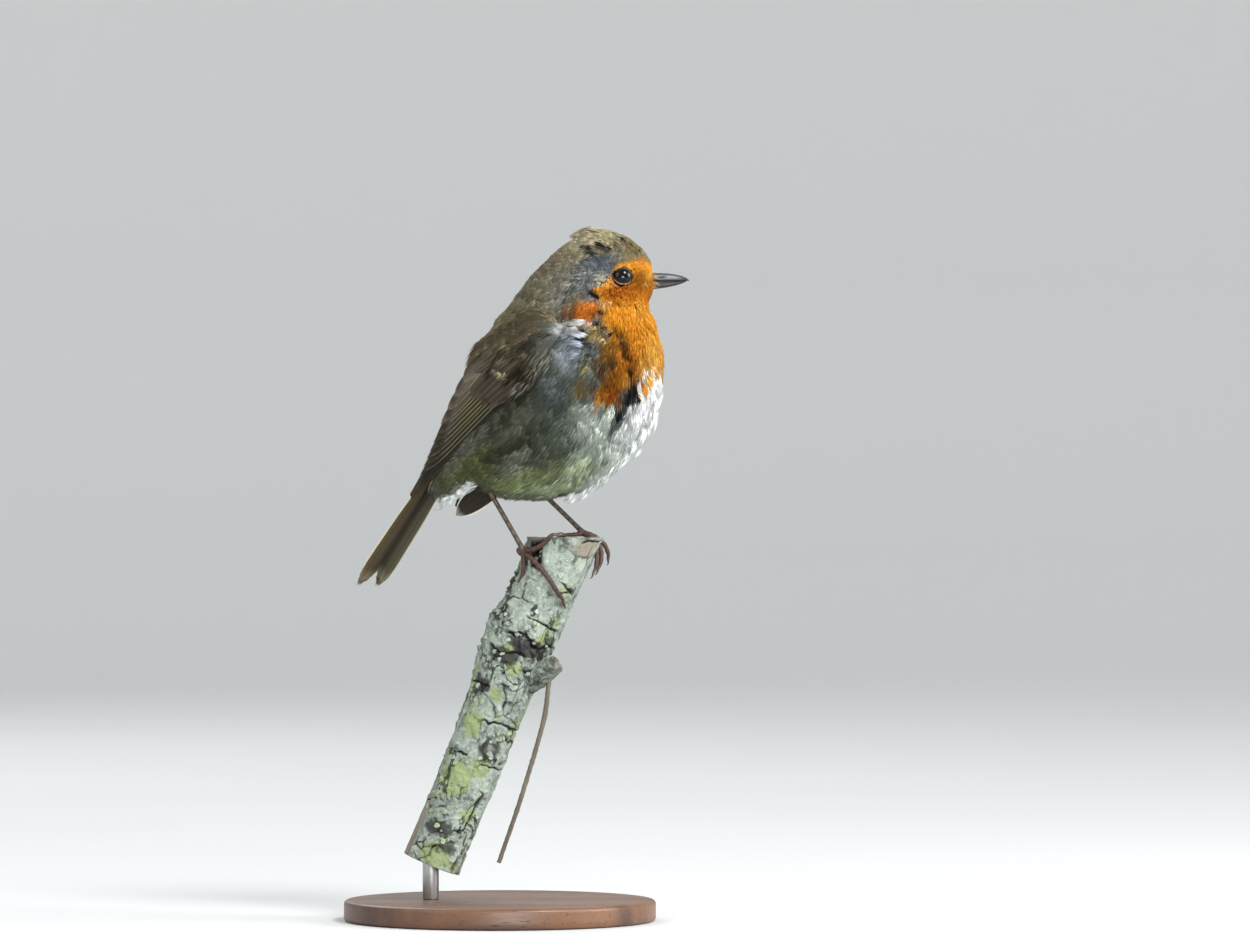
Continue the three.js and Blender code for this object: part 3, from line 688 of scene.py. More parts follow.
def wood_paint():
    """Oiled dark wood with fine straight grain and open pores."""
    paint = Paint("oiled_wood", Roughness=0.42, Coat_Weight=0.15, Coat_Roughness=0.25)
    rings = paint.speckle(55.0, 4.0, 0.55, vector=paint.stretched((0.12, 1.0, 0.5)), warp=0.3)
    fibre = paint.speckle(900.0, 5.0, 0.6, vector=paint.stretched((0.05, 1.0, 0.6)))
    pores = paint.speckle(2200.0, 2.0, vector=paint.stretched((0.08, 1.0, 0.6))).rise(0.60, 0.72)
    colour = paint.blend((rings * 1.2 - 0.1).rise(0.25, 0.8), tone(58, 36, 22), tone(124, 84, 54))
    colour = paint.blend(fibre * 0.45, colour, tone(70, 44, 28))
    colour = paint.blend(pores * 0.7, colour, tone(28, 17, 11))
    return paint.surface(colour, roughness=0.34 + 0.22 * fibre, relief=fibre - pores * 1.2, depth=0.00006)


def steel_paint():
    paint = Paint("brushed_steel", Metallic=1.0, Roughness=0.35)
    brush = paint.speckle(1600.0, 4.0, vector=paint.stretched((1.0, 1.0, 0.03)))
    wear = paint.speckle(160.0, 4.0)
    colour = paint.blend(brush, tone(150, 152, 155), tone(198, 199, 200))
    return paint.surface(colour, roughness=0.26 + 0.2 * brush + 0.12 * wear, relief=brush, depth=0.00002)


# ---- Feather shapes ----


def needle_tuft(seed, barbs=7, spread=0.5, split=0.35):
    """A fan of thin closed barbs, one unit long: points, faces and what each point stores."""
    rng = np.random.default_rng(seed)
    points, faces, lift, bulk, shade = [], [], [], [], []
    for k in range(barbs):
        place = (k + 0.5) / barbs * 2 - 1
        out = place + rng.uniform(-0.12, 0.12)
        start = np.array([rng.uniform(0.0, 0.10), out * split * 0.5])
        end = np.array([rng.uniform(0.72, 1.0) * (1 - 0.16 * out * out), out * spread + rng.uniform(-0.06, 0.06)])
        middle = start + (end - start) * 0.58 + np.array([0, out * 0.06])
        half = 0.5 / barbs * 1.2
        n = len(points)
        points += [start, middle + [0, half], middle - [0, half], middle, end]
        lift += [0.0, 0.62, 0.62, 0.66, 1.0 + rng.uniform(-0.15, 0.12)]
        bulk += [0.0, -0.03, -0.03, 0.11, 0.0]
        shade += [rng.uniform(-1, 1)] * 5
        faces += [[n, n + 3, n + 1], [n, n + 2, n + 3], [n, n + 1, n + 2],
                  [n + 4, n + 1, n + 3], [n + 4, n + 3, n + 2], [n + 4, n + 2, n + 1]]
    points = np.array([(x, y, 0.0) for x, y in points])
    return points, faces, {"lift": lift, "bulk": bulk, "shade": shade}


def leaf_vane(seed, rows, columns, tip=0.22, bow=0.10, fray=0.0, point=0.5, base=0.30, crown=1.0):
    """A closed thin vane, one unit long and one across, with a round tip, a raised shaft and a little wear."""
    rng = np.random.default_rng(seed)
    along = 1 - (1 - np.linspace(0, 1, rows)) ** 1.25
    across = np.linspace(-1, 1, columns)
    full = np.minimum(1.0, base + 1.5 * along) ** 0.8
    end = np.clip((along - (1 - tip)) / tip, 0, 1)
    width = full * np.maximum(np.sqrt(np.maximum(1 - end**2, 0)) ** point, 0.02)
    t, a = np.meshgrid(along, across, indexing="ij")
    w = width[:, None] * np.ones(columns)
    worn = rng.uniform(-1, 1, (rows, columns)) * fray * smooth(0.4, 1.0, t) * (np.abs(a) > 0.6)
    x = t - 0.05 * np.abs(a) * smooth(0.5, 1, t) + worn * 0.03
    y = 0.5 * (a * w + bow * (t * (1 - t)) * 2) + worn * 0.04
    camber = crown * (0.16 * (1 - a**2) + 0.10 * np.exp(-((a / 0.12) ** 2)))
    top = np.stack([x, y, np.zeros_like(x)], -1).reshape(-1, 3)
    n = len(top)
    rim = (np.abs(a) > 0.99) | (t < 1e-6) | (t > 1 - 1e-6)
    bulk_top = camber.ravel()
    bulk_low = np.where(rim.ravel(), bulk_top, bulk_top - 0.12)
    return np.vstack([top, top]), two_layers(rows, columns, -1), {
        "lift": np.concatenate([t.ravel()] * 2),
        "bulk": np.concatenate([bulk_top, bulk_low - 0.02]),
        "shade": np.full(2 * n, rng.uniform(-1, 1)),
        "across": np.concatenate([a.ravel()] * 2),
        "along": np.concatenate([t.ravel()] * 2),
    }


def shape_collection(name, shapes):
    """Feather shapes as hidden objects in a collection, for Geometry Nodes to pick from."""
    held = bpy.data.collections.new(name)
    for i, (points, faces, values) in enumerate(shapes):
        mesh = mesh_from(f"{name}_{i:02d}", points / MM, faces, outward=False)
        for key, value in values.items():
            write_values(mesh, key, "FLOAT", value)
        write_values(mesh, "patch", "FLOAT_VECTOR", points)
        held.objects.link(bpy.data.objects.new(f"{name}_{i:02d}", mesh))
    return held


def drop_collection(held):
    for made in list(held.objects):
        bpy.data.meshes.remove(made.data)
    bpy.data.collections.remove(held)


class Tree(Nodes):
    """A Geometry Nodes tree that strews shapes. Each named input is a kind of socket, or a number."""

    def __init__(self, name, start, result, **kinds):
        super().__init__(bpy.data.node_groups.new(name, "GeometryNodeTree"))
        sockets = self.tree.interface
        for key, kind in {start: "Geometry", **kinds}.items():
            named = isinstance(kind, str)
            made = sockets.new_socket(key, in_out="INPUT", socket_type="NodeSocket" + (kind if named else "Float"))
            if not named:
                made.default_value = kind
        sockets.new_socket(result, in_out="OUTPUT", socket_type="NodeSocketGeometry")
        given = self.tree.nodes.new("NodeGroupInput")
        self.inputs = {socket.name: Value(self, socket) for socket in given.outputs if socket.name}

    def strew(self, points, shapes, pick, turn, size):
        """One picked shape on each point, as real mesh."""
        picked = self.add("GeometryNodeCollectionInfo", {}, {
            "Collection": shapes, "Separate Children": True, "Reset Children": True})
        laid = self.add("GeometryNodeInstanceOnPoints", {}, {
            "Points": points, "Instance": picked, "Pick Instance": True, "Instance Index": pick, "Rotation": turn,
            "Scale": size})
        return self.add("GeometryNodeRealizeInstances", {}, {"Geometry": laid})

    def end(self, geometry):
        """Gives the geometry its finish and links it to the result."""
        done = self.add("GeometryNodeSetMaterial", {}, {"Geometry": geometry, "Material": self.inputs["Finish"]})
        self.tree.links.new(done.socket, self.tree.nodes.new("NodeGroupOutput").inputs[0])
        return self.tree


def run_tree(name, mesh, tree, **settings):
    """Runs a tree over a mesh, its inputs set by identifier, and gives the result as a plain mesh."""
    bed = hold(name + "_bed", mesh)
    modifier = bed.modifiers.new(name, "NODES")
    modifier.node_group = tree
    for item in tree.interface.items_tree:
        if item.item_type == "SOCKET" and item.in_out == "INPUT" and item.name in settings:
            modifier[item.identifier] = settings[item.name]
    laid = bpy.data.meshes.new_from_object(bed.evaluated_get(bpy.context.evaluated_depsgraph_get()))
    laid.name = name
    bed.modifiers.clear()
    bpy.data.objects.remove(bed)
    return laid


def coat_tree():
    """Lays one feather at each root, turned along its lie, and settles it on the form at its own height."""
    nodes = Tree("lay_feathers", "Roots", "Coat", Shapes="Collection", Form="Object", Finish="Material",
                 Length=1.0, Width=1.0, Rise=1.0)
    inputs = nodes.inputs

    def stored(name, kind="FLOAT"):
        return nodes.add("GeometryNodeInputNamedAttribute", {"data_type": kind}, {"Name": name})

    def vector(operation, a, b):
        return nodes.add("ShaderNodeVectorMath", {"operation": operation}, {0: a, 1: b})

    def scaled(value, share):
        return nodes.add("ShaderNodeVectorMath", {"operation": "SCALE"}, {0: value, "Scale": share})

    spread = nodes.add("ShaderNodeCombineXYZ", {}, {0: inputs["Length"], 1: inputs["Width"], 2: 1.0})
    size = vector("MULTIPLY", stored("size", "FLOAT_VECTOR"), spread)
    turn = nodes.add("FunctionNodeEulerToRotation", {}, {"Euler": stored("turn", "FLOAT_VECTOR")})
    loose = nodes.strew(inputs["Roots"], inputs["Shapes"], stored("shape", "INT"), turn, size)
    form = nodes.add("GeometryNodeObjectInfo", {}, {"Object": inputs["Form"]}, output="Geometry")
    place = nodes.add("GeometryNodeInputPosition")
    normal = nodes.add("GeometryNodeInputNormal")
    # Most feathers drop to the nearest place of the form. Those with an aim drop straight back along it.
    aim = stored("aim", "FLOAT_VECTOR")
    met = nodes.add("GeometryNodeRaycast", {}, {
        "Target Geometry": form, "Source Position": vector("ADD", place, scaled(aim, 0.04)),
        "Ray Direction": scaled(aim, -1.0), "Ray Length": 0.08}, output="Is Hit")
    spot = Value(nodes, met.socket.node.outputs["Hit Position"])

    def on_form(value, aimed):
        near = nodes.add("GeometryNodeSampleNearestSurface", {"data_type": "FLOAT_VECTOR"},
                         {"Mesh": form, "Value": value, "Sample Position": place})
        return nodes.add("GeometryNodeSwitch", {"input_type": "VECTOR"},
                         {"Switch": met, "True": aimed, "False": near})

    foot, out = on_form(place, spot), on_form(normal, aim)
    low, high = stored("low"), stored("high")
    height = (low + (high - low) * stored("lift")) * inputs["Rise"] + stored("bulk") * MM
    spot = vector("ADD", foot, scaled(out, height))
    return nodes.end(nodes.add("GeometryNodeSetPosition", {}, {"Geometry": loose, "Position": spot}))


def euler_of(lie, normal):
    """Euler angles that turn +X along the lie and +Z along the normal."""
    x = unit(lie - normal * (lie * normal).sum(-1, keepdims=True))
    y = np.cross(normal, x)
    pitch = np.arcsin(np.clip(-x[:, 2], -1, 1))
    return np.stack([np.arctan2(y[:, 2], normal[:, 2]), pitch, np.arctan2(x[:, 1], x[:, 0])], -1)


def roots_of(place, lie, normal, length, width, low, high, tint, shape, spot, **more):
    """What lay_coat needs for each root, in millimetres. A single value is shared by all the roots."""
    numbers = {"length": length, "width": width, "low": low, "high": high, **more}
    for key, value in numbers.items():
        numbers[key] = np.broadcast_to(value, (len(place), *np.shape(value)[1:])).astype(float)
    tint = np.clip(tint, 0, 1)
    return {"place": place, "lie": lie, "normal": normal, "tint": tint, "shape": shape, "map": spot, **numbers}


def lay_coat(name, roots, shapes, form, material, nodes=()):
    """Runs the coat tree over roots and keeps the result as a plain mesh. roots holds arrays in millimetres."""
    mesh = bpy.data.meshes.new(name + "_roots")
    count = len(roots["place"])
    mesh.vertices.add(count)
    mesh.vertices.foreach_set("co", (roots["place"] * MM).astype(np.float32).ravel())
    write_values(mesh, "turn", "FLOAT_VECTOR", euler_of(roots["lie"], roots["normal"]))
    write_values(mesh, "size", "FLOAT_VECTOR",
                 np.stack([roots["length"], roots["width"], np.ones(count) / MM], -1) * MM)
    for key in ("low", "high"):
        write_values(mesh, key, "FLOAT", roots[key] * MM)
    write_values(mesh, "shape", "INT", roots["shape"])
    if "aim" in roots:
        write_values(mesh, "aim", "FLOAT_VECTOR", roots["aim"])
    write_values(mesh, "tint", "FLOAT_COLOR", roots["tint"])
    spot = fit(roots["map"])
    write_values(mesh, "spot", "FLOAT_VECTOR", np.concatenate([spot, np.zeros((count, 1))], -1))
    for key in ("edge", "tip", "hand"):
        if key in roots:
            write_values(mesh, key, "FLOAT", roots[key])
    if "fringe" in roots:
        write_values(mesh, "fringe", "FLOAT_COLOR", roots["fringe"])
    laid = run_tree(name, mesh, COAT_TREE, Shapes=shapes, Form=form, Finish=material, Length=1.0, Width=1.0,
                    Rise=1.0)
    where, patch = read_values(laid, "spot", 3)[:, :2], read_values(laid, "patch", 3)
    write_map(laid, "OFBake", where + patch[:, :2] * PATCH)
    for key in ("turn", "size", "spot", "patch", "bulk", "low", "high", "shape", "aim"):
        if key in laid.attributes:
            laid.attributes.remove(laid.attributes[key])
    laid.polygons.foreach_set("use_smooth", [True] * len(laid.polygons))
    make_piece(name, laid, material, nodes)


# ---- Markings ----


def edge_reach(x, z, ax, az, bx, bz):
    """Distance from one straight edge."""
    run = (bx - ax) ** 2 + (bz - az) ** 2
    t = np.clip(((x - ax) * (bx - ax) + (z - az) * (bz - az)) / run, 0, 1)
    return np.hypot(x - ax - t * (bx - ax), z - az - t * (bz - az))


def polygon_reach(x, z, outline):
    """Distance into an outline, negative outside it."""
    corners = np.asarray(outline, float)
    best = np.full(x.shape, np.inf)
    inside = np.zeros(x.shape, bool)
    for (ax, az), (bx, bz) in zip(corners, np.roll(corners, -1, axis=0)):
        best = np.minimum(best, edge_reach(x, z, ax, az, bx, bz))
        crosses = (az > z) != (bz > z)
        level = ax + (z - az) * (bx - ax) / np.where(bz == az, 1e-9, bz - az)
        inside ^= crosses & (x < level)
    return np.where(inside, best, -best)


def streak_reach(x, z, route):
    """Distance from a broken line."""
    best = np.full(x.shape, np.inf)
    for (ax, az), (bx, bz) in zip(route, route[1:]):
        best = np.minimum(best, edge_reach(x, z, ax, az, bx, bz))
    return best


ORANGE_BIB = [(47.5, 194.4), (45.4, 193.6), (41.4, 194.0), (38.1, 193.6), (35.2, 192.8), (33.4, 191.2),
              (33.0, 189.4), (31.4, 187.6), (28.3, 186.4), (27.4, 184.4), (29.5, 182.2), (31.0, 180.2),
              (30.4, 177.8), (30.6, 175.4), (33.0, 173.0), (31.2, 170.0), (29.6, 166.0), (29.3, 160.0),
              (28.4, 155.5), (29.0, 152.8), (33.0, 151.2), (36.2, 152.0), (38.2, 157.5), (41.0, 154.2),
              (43.0, 160.8), (45.6, 160.2), (48.5, 156.0), (56.0, 158.0), (56.0, 190.0), (50.0, 195.5)]
BROWN_BACK = [(-40, 120), (-20, 128), (-12, 140), (-2, 160), (8, 168), (17, 176), (19, 184), (24, 190), (29, 194),
              (36, 196.2), (46, 195.0), (50, 215), (-40, 215)]
GROOVE = [(35.5, 174.0), (37.8, 170.0), (39.0, 163.7), (40.2, 159.3), (41.2, 154.0)]
FLANK_LINE = [(38.6, 158.0), (36.2, 153.0), (34.2, 146.0), (33.0, 141.0), (31.6, 135.0)]


def plumage(places):
    """The plumage's linear colour at posed places. The left side wears the right side's markings."""
    straight = unpose(places)
    left = straight[:, 1] > 0
    near = pose(straight * [1, -1, 1])
    flat = np.where(left[:, None], near, places)
    warp = noise(places, 3.2, 5) * 0.8 + noise(places, 1.3, 6) * 0.45
    x, z = flat[:, 0] + warp, flat[:, 2] + noise(places, 2.6, 7) * 0.8
    colour = np.tile(linear((112, 114, 102)), (len(places), 1))

    def lay(share, wanted):
        nonlocal colour
        colour = colour + (linear(wanted) - colour) * np.clip(share, 0, 1)[:, None]

    def patch(cx, cz, rx, rz, wanted, turn=0.0, amount=1.0, soft=0.5):
        c, s = math.cos(math.radians(turn)), math.sin(math.radians(turn))
        dx, dz = x - cx, z - cz
        reach = np.hypot((dx * c + dz * s) / rx, (dz * c - dx * s) / rz)
        lay(amount * (1 - smooth(1 - soft, 1 + soft, reach)), wanted)

    def patches_of(*marks):
        for mark in marks:
            patch(*mark)

    def streak(route, width, wanted, amount=1.0):
        lay(amount * (1 - smooth(0.4 * width, 1.3 * width, streak_reach(x, z, route))), wanted)

    # The underside: grey flanks, olive towards the tail, white at the breast's middle.
    lay(smooth(-2, 30, x) * (z < 175), (112, 120, 112))
    lay(smooth(30, 44, x) * (1 - smooth(164, 172, z)), (248, 250, 250))
    patches_of((12, 147, 15, 9, (84, 90, 80), 38, 0.85), (13, 158, 8, 6, (60, 64, 60), 40, 0.85),
               (4, 152, 8, 3.2, (62, 64, 50), 44, 0.9), (18, 157, 5, 8, (88, 94, 92), 40, 0.7),
               (2, 141, 12, 6, (88, 90, 72), 40, 0.85), (12, 140, 5, 5, (58, 64, 54), 40, 0.6),
               (21, 147, 6, 5, (92, 104, 92), 40, 0.7), (16, 135, 9, 4, (88, 96, 74), 25, 0.75),
               (24, 152, 3.4, 4, (98, 102, 88), 20, 0.7), (29.5, 143, 7.0, 9.8, (200, 208, 200), 22, 0.85),
               (27, 137.5, 6, 4.4, (174, 188, 170), 30, 0.8), (31, 151.0, 3, 2.4, (150, 156, 120), 0, 0.6),
               (14, 130, 15, 3.6, (138, 148, 104), 8, 0.85), (25.5, 131.2, 6.8, 3.6, (192, 203, 172), 25, 0.85),
               (3, 127.6, 8, 2.6, (146, 160, 112), 0, 0.8), (18, 126.6, 10, 2.2, (186, 198, 160), 8, 0.8),
               (28, 127.0, 4, 2.4, (206, 216, 200), 25, 0.9), (36, 135, 7, 4, (222, 230, 220), 40, 0.8),
               (-8, 134, 8, 3.6, (96, 100, 62), 42, 0.85), (-2, 136.5, 4, 2.4, (52, 54, 36), 40, 0.7),
               (-13, 130, 6, 3, (100, 106, 66), 48, 0.9), (-4, 131.0, 5, 2.2, (86, 92, 56), 10, 0.8),
               (-5, 127.6, 4, 1.4, (44, 46, 30), 10, 0.8), (21.0, 166.0, 5, 4.0, (150, 158, 162), -20, 0.75),
               (13, 164, 3.4, 3, (112, 114, 104), 45, 0.8))
    streak([(-7.6, 128.6), (-13.5, 124.6), (-22.0, 118.4)], 1.2, (214, 219, 215), 1.0)
    streak([(46.5, 150.0), (43.5, 142.0), (38.0, 135.0), (31.0, 129.4), (24.5, 125.4)], 2.0, (228, 234, 231), 0.9)
    # Back, nape and crown.
    lay(smooth(0.0, 8.0, polygon_reach(x, z, BROWN_BACK) + 4.0), (134, 124, 98))
    patches_of((12, 184, 9, 7, (128, 122, 102), 45, 0.8), (14, 191, 5, 4, (142, 134, 110), 45, 0.6),
               (25, 201, 5, 3.2, (172, 164, 140), 20, 0.8), (31, 201.5, 6, 3, (170, 160, 122), 0, 0.85),
               (40, 198.5, 4, 4, (112, 98, 64), -40, 0.8))
    lay(smooth(199.5, 203, z) * 0.4, (180, 170, 138))
    # Grey side of the neck and head.
    patches_of((25, 188.5, 8, 6.0, (116, 119, 120), 30, 0.9), (24.6, 192.4, 5.0, 2.0, (84, 88, 90), 30, 0.7),
               (20, 183, 6, 4, (130, 129, 122), 0, 0.9), (18, 190, 5, 4, (110, 106, 90), 40, 0.7),
               (30, 193.2, 4.5, 2.6, (94, 100, 106), 20, 0.9), (29, 189.4, 3.4, 1.3, (146, 148, 138), -10, 0.8),
               (31.0, 187.6, 2.4, 0.8, (188, 178, 130), -35, 0.7), (28.4, 187, 2.0, 0.9, (150, 144, 132), 30, 0.6))
    for cx, cz, turn, size in ((26.6, 197.2, -30, 1.5), (29.6, 198.6, -25, 1.7), (31.6, 197.6, -40, 1.3),
                               (28.0, 195.2, -25, 1.2), (33.8, 200.4, -35, 1.0), (36.4, 199.6, -45, 1.3),
                               (38.6, 197.6, -45, 1.4), (34.6, 197.4, -40, 1.1), (40.8, 196.6, -45, 1.1),
                               (25.0, 194.4, -20, 0.9), (37.2, 201.0, -45, 0.8)):
        patch(cx, cz, size * 1.25, size * 0.55, (42, 40, 38), turn, 0.8 if cx < 33 else 0.45, 0.4)
    # The orange mask and bib, deeper by the eye and yellower at its edges.
    bib = polygon_reach(x, z, ORANGE_BIB)
    lay(smooth(-0.7, 0.7, bib), (208, 139, 34))
    deep = smooth(1.0, 6.0, bib)
    lay(0.75 * deep * smooth(174, 186, z), (150, 82, 16))
    lay(0.45 * deep * smooth(0.05, 0.6, noise(places, 0.9, 12)), (128, 64, 12))
    patches_of((34.5, 184.6, 4.5, 2.4, (156, 80, 16), 0, 0.8), (42.3, 188.6, 2.8, 3.0, (128, 78, 16), 0, 0.75),
               (41.5, 193.4, 5.0, 1.4, (148, 98, 32), 0, 0.8), (44.0, 189.9, 0.9, 1.0, (192, 150, 66), 0, 0.55),
               (43.6, 187.0, 0.8, 0.5, (184, 154, 84), 0, 0.55))
    lay(smooth(-0.6, 0.8, bib) * (1 - smooth(0.8, 2.6, bib)) * 0.4, (224, 158, 66))
    patches_of((44.6, 165.5, 3.6, 6.4, (214, 166, 76), -6, 0.85), (43.0, 178.5, 3.6, 5.0, (208, 144, 50), 80, 0.7),
               (41.0, 170.0, 3.6, 7.0, (202, 128, 30), 15, 0.7), (39.6, 163.6, 2.4, 5.0, (122, 64, 12), 10, 0.8),
               (35.0, 170.6, 3.0, 2.6, (152, 94, 28), 0, 0.7), (33.0, 160.0, 3.8, 7.0, (98, 56, 14), 5, 0.9),
               (34.4, 154.8, 3.0, 2.8, (136, 68, 8), 0, 0.9), (36.6, 164.5, 2.0, 4.5, (160, 96, 26), 8, 0.6),
               (31.0, 168.0, 3.2, 3.4, (96, 66, 28), 0, 0.85), (29.6, 163.6, 2.4, 3.4, (88, 78, 58), 10, 0.85),
               (33.8, 163.0, 1.0, 3.4, (92, 66, 34), 12, 0.6), (28.4, 171.6, 3.6, 2.2, (160, 132, 74), -20, 0.9),
               (24.4, 157.0, 2.2, 2.8, (118, 98, 58), 0, 0.8), (26.0, 163.0, 1.4, 2.0, (150, 138, 92), 0, 0.7))
    # The ear patch, its dark edges, and the pale fringe over the shoulder.
    patches_of((25.4, 179.2, 4.6, 2.6, (204, 118, 34), 12, 1.0, 0.35),
               (20.6, 179.0, 2.2, 1.8, (116, 76, 32), 20, 0.85), (21.6, 181.8, 2.0, 1.1, (120, 108, 70), 20, 0.8))
    streak([(26.0, 185.1), (28.2, 183.6), (30.4, 181.8)], 0.7, (40, 28, 22), 0.95)
    streak([(26.8, 178.0), (28.6, 178.2), (30.4, 179.4)], 0.7, (70, 40, 22), 0.8)
    streak([(29.8, 182.0), (31.0, 181.6), (33.4, 181.0)], 0.45, (236, 196, 150), 0.8)
    near_side = ~left
    streak([(17.4, 174.8), (21.0, 174.9), (26.4, 175.4)], 1.2, (186, 184, 178), 0.85)
    streak([(18.0, 172.9), (22.0, 172.8), (24.4, 172.6)], 1.2, (186, 188, 190), 0.8)
    patch(22.5, 168.5, 4.6, 3.6, (140, 150, 158), -20, 0.8)
    for k in range(4):
        drop = 1.25 * k
        streak([(20.6 + k, 172.2 - drop), (24.5 + k, 170.6 - drop), (29.5 + 0.4 * k, 169.6 - drop)], 0.36,
               (40, 42, 46), 0.75)
        streak([(21.0 + k, 171.6 - drop), (25.0 + k, 170.0 - drop), (29.0 + 0.4 * k, 169.0 - drop)], 0.3,
               (206, 212, 216), 0.6)
    for cx, cz in ((28.2, 175.2), (30.0, 173.6), (31.6, 171.8), (27.2, 172.8), (33.2, 170.6), (30.6, 176.0)):
        patch(cx, cz, 0.9, 0.55, (48, 40, 32), -35, 0.8, 0.4)
    # The parting down the breast, on the bird's right, and the white below the bib. The parting's dark is the dark
    # feather bases with painted shade in the crease.
    patch(44.9, 152.6, 3.4, 8.4, (255, 255, 255), 0, 1.0, 0.3)
    lay(near_side * (1 - smooth(0.45, 1.1, streak_reach(x, z, GROOVE))) * 0.9, (52, 30, 16))
    patch(39.6, 154.8, 1.7, 4.2, (18, 20, 22), 8, 0.95, 0.3)
    patch(37.2, 151.0, 1.5, 5.2, (34, 38, 42), -12, 0.9, 0.35)
    lay(near_side * (1 - smooth(0.3, 0.9, streak_reach(x, z, FLANK_LINE))) * 0.6, (64, 72, 72))
    fine = 1 + 0.16 * noise(places, 0.9, 11) + 0.12 * noise(places, 2.2, 12)
    return np.clip(colour * fine[:, None], 0.002, 0.99)


# ---- Wing and tail forms ----


def wing_edges(side):
    """The upper and lower edge of a folded wing, unturned, at a share from the bend to the tip."""
    wing = WINGS[side]
    upper_line = spline([(u[0], 0, u[1]) for u, _ in WING_SECTIONS])
    lower_line = spline([(low[0], 0, low[1]) for _, low in WING_SECTIONS])
    c, s = math.cos(wing["droop"]), math.sin(wing["droop"])

    def hang(p):
        x, z = p[..., 0] - WING_BEND[0], p[..., 2] - WING_BEND[1]
        return np.stack([WING_BEND[0] + x * c - z * s, 0 * x, WING_BEND[1] + wing["raise"] + x * s + z * c], -1)

    def edges(share):
        share = np.asarray(share, float)
        swing = wing["fan"] * np.sin(np.pi * np.clip(share, 0, 1) ** 4)
        return hang(upper_line(share)), hang(lower_line(share)) + swing[..., None] * np.array([0.75, 0, -0.2])

    return edges


def neighbours(values, **edge):
    """The nine values round each place of a grid, its own among them."""
    wide = np.pad(values, 1, **edge)
    rows, columns = values.shape
    return np.stack([wide[1 + i:1 + i + rows, 1 + j:1 + j + columns] for i in (-1, 0, 1) for j in (-1, 0, 1)])


class WingForm:
    """The outside of a folded wing, from the CAD wing's own surface."""

    STEP = 0.75
    LOW = np.array([-50.0, 105.0])
    SIZE = (114, 116)

    def __init__(self, side):
        self.side = WINGS[side]["side"]
        self.edges = wing_edges(side)
        solid = frame["nodes"]["wing_" + side].data
        points = np.zeros(len(solid.vertices) * 3, np.float32)
        solid.vertices.foreach_get("co", points)
        points = unpose(points.reshape(-1, 3) / MM)
        tree = BVHTree.FromPolygons(points.tolist(), [list(face.vertices) for face in solid.polygons])
        out = np.full(self.SIZE, np.nan)
        way = Vector((0, -self.side, 0))
        for i in range(self.SIZE[0]):
            for j in range(self.SIZE[1]):
                x, z = self.LOW + np.array([i, j]) * self.STEP
                hit = tree.ray_cast(Vector((x, 60 * self.side, z)), way)
                if hit[0] is not None:
                    out[i, j] = hit[0].y * self.side
        for _ in range(26):
            near = neighbours(out, constant_values=np.nan)
            known = ~np.isnan(near)
            mean = np.where(known, near, 0).sum(0) / np.maximum(known.sum(0), 1)
            out = np.where(np.isnan(out) & known.any(0), mean, out)
        out = np.where(np.isnan(out), 14.0, out)
        for _ in range(3):
            out = sum(neighbours(out, mode="edge")) / 9
        self.out = out

    def height(self, x, z):
        i = np.clip((x - self.LOW[0]) / self.STEP, 0, self.SIZE[0] - 1.001)
        j = np.clip((z - self.LOW[1]) / self.STEP, 0, self.SIZE[1] - 1.001)
        a, b = i.astype(int), j.astype(int)
        u, v = i - a, j - b
        h = self.out
        return (h[a, b] * (1 - u) * (1 - v) + h[a + 1, b] * u * (1 - v)
                + h[a, b + 1] * (1 - u) * v + h[a + 1, b + 1] * u * v)

    def point(self, along, across, sink=0.0):
        """A posed point of the wing's outside, by shares from bend to tip and from upper to lower edge."""
        along, across = np.asarray(along, float), np.asarray(across, float)
        upper, lower = self.edges(along)
        flat = upper + (lower - upper) * across[..., None]
        y = self.side * (self.height(flat[..., 0], flat[..., 2]) - sink)
        return pose(np.stack([flat[..., 0], y, flat[..., 2]], -1))

    def find(self, spots):
        """The shares of places on the near side that are seen at these x and z."""
        along, across = self.spread(260, 180)
        seen = self.point(along, across)
        picks = [np.argmin((seen[..., 0] - x) ** 2 + (seen[..., 2] - z) ** 2) for x, z in spots]
        return np.stack([along.ravel()[picks], across.ravel()[picks]], -1)

    @staticmethod
    def spread(rows, columns):
        """Shares over the wing and round it, with more room beside its narrow tip."""
        along, across = np.meshgrid(np.linspace(-0.1, 1.24, rows), np.linspace(-1, 1, columns), indexing="ij")
        return along, 0.5 + across * (0.9 + 3.2 * smooth(0.55, 1.0, along))

    def outline(self):
        upper, lower = self.edges(np.linspace(0, 1, 40))
        return [tuple(p) for p in np.vstack([upper[:, [0, 2]], lower[::-1][:, [0, 2]]])]

    def form_mesh(self, name, sink):
        """An open sheet under the wing's feathers, a little wider than the wing, for them to settle on."""
        return form_sheet(name, self.point(*self.spread(80, 56), sink))


def form_sheet(name, points):
    """A hidden sheet that feathers settle on. Its faces point away from the bird's middle."""
    rows, columns = points.shape[:2]
    faces = grid_faces(rows, columns)
    flat = points.reshape(-1, 3)
    i, j = rows // 2, columns // 2
    out = np.cross(points[i + 1, j] - points[i, j], points[i, j + 1] - points[i, j])
    away = flat[i * columns + j] - np.array([14.0, -8.0, flat[i * columns + j][2]])
    if out @ away > 0:
        faces = [face[::-1] for face in faces]
    return hold(name, mesh_from(name, flat, faces, outward=False))


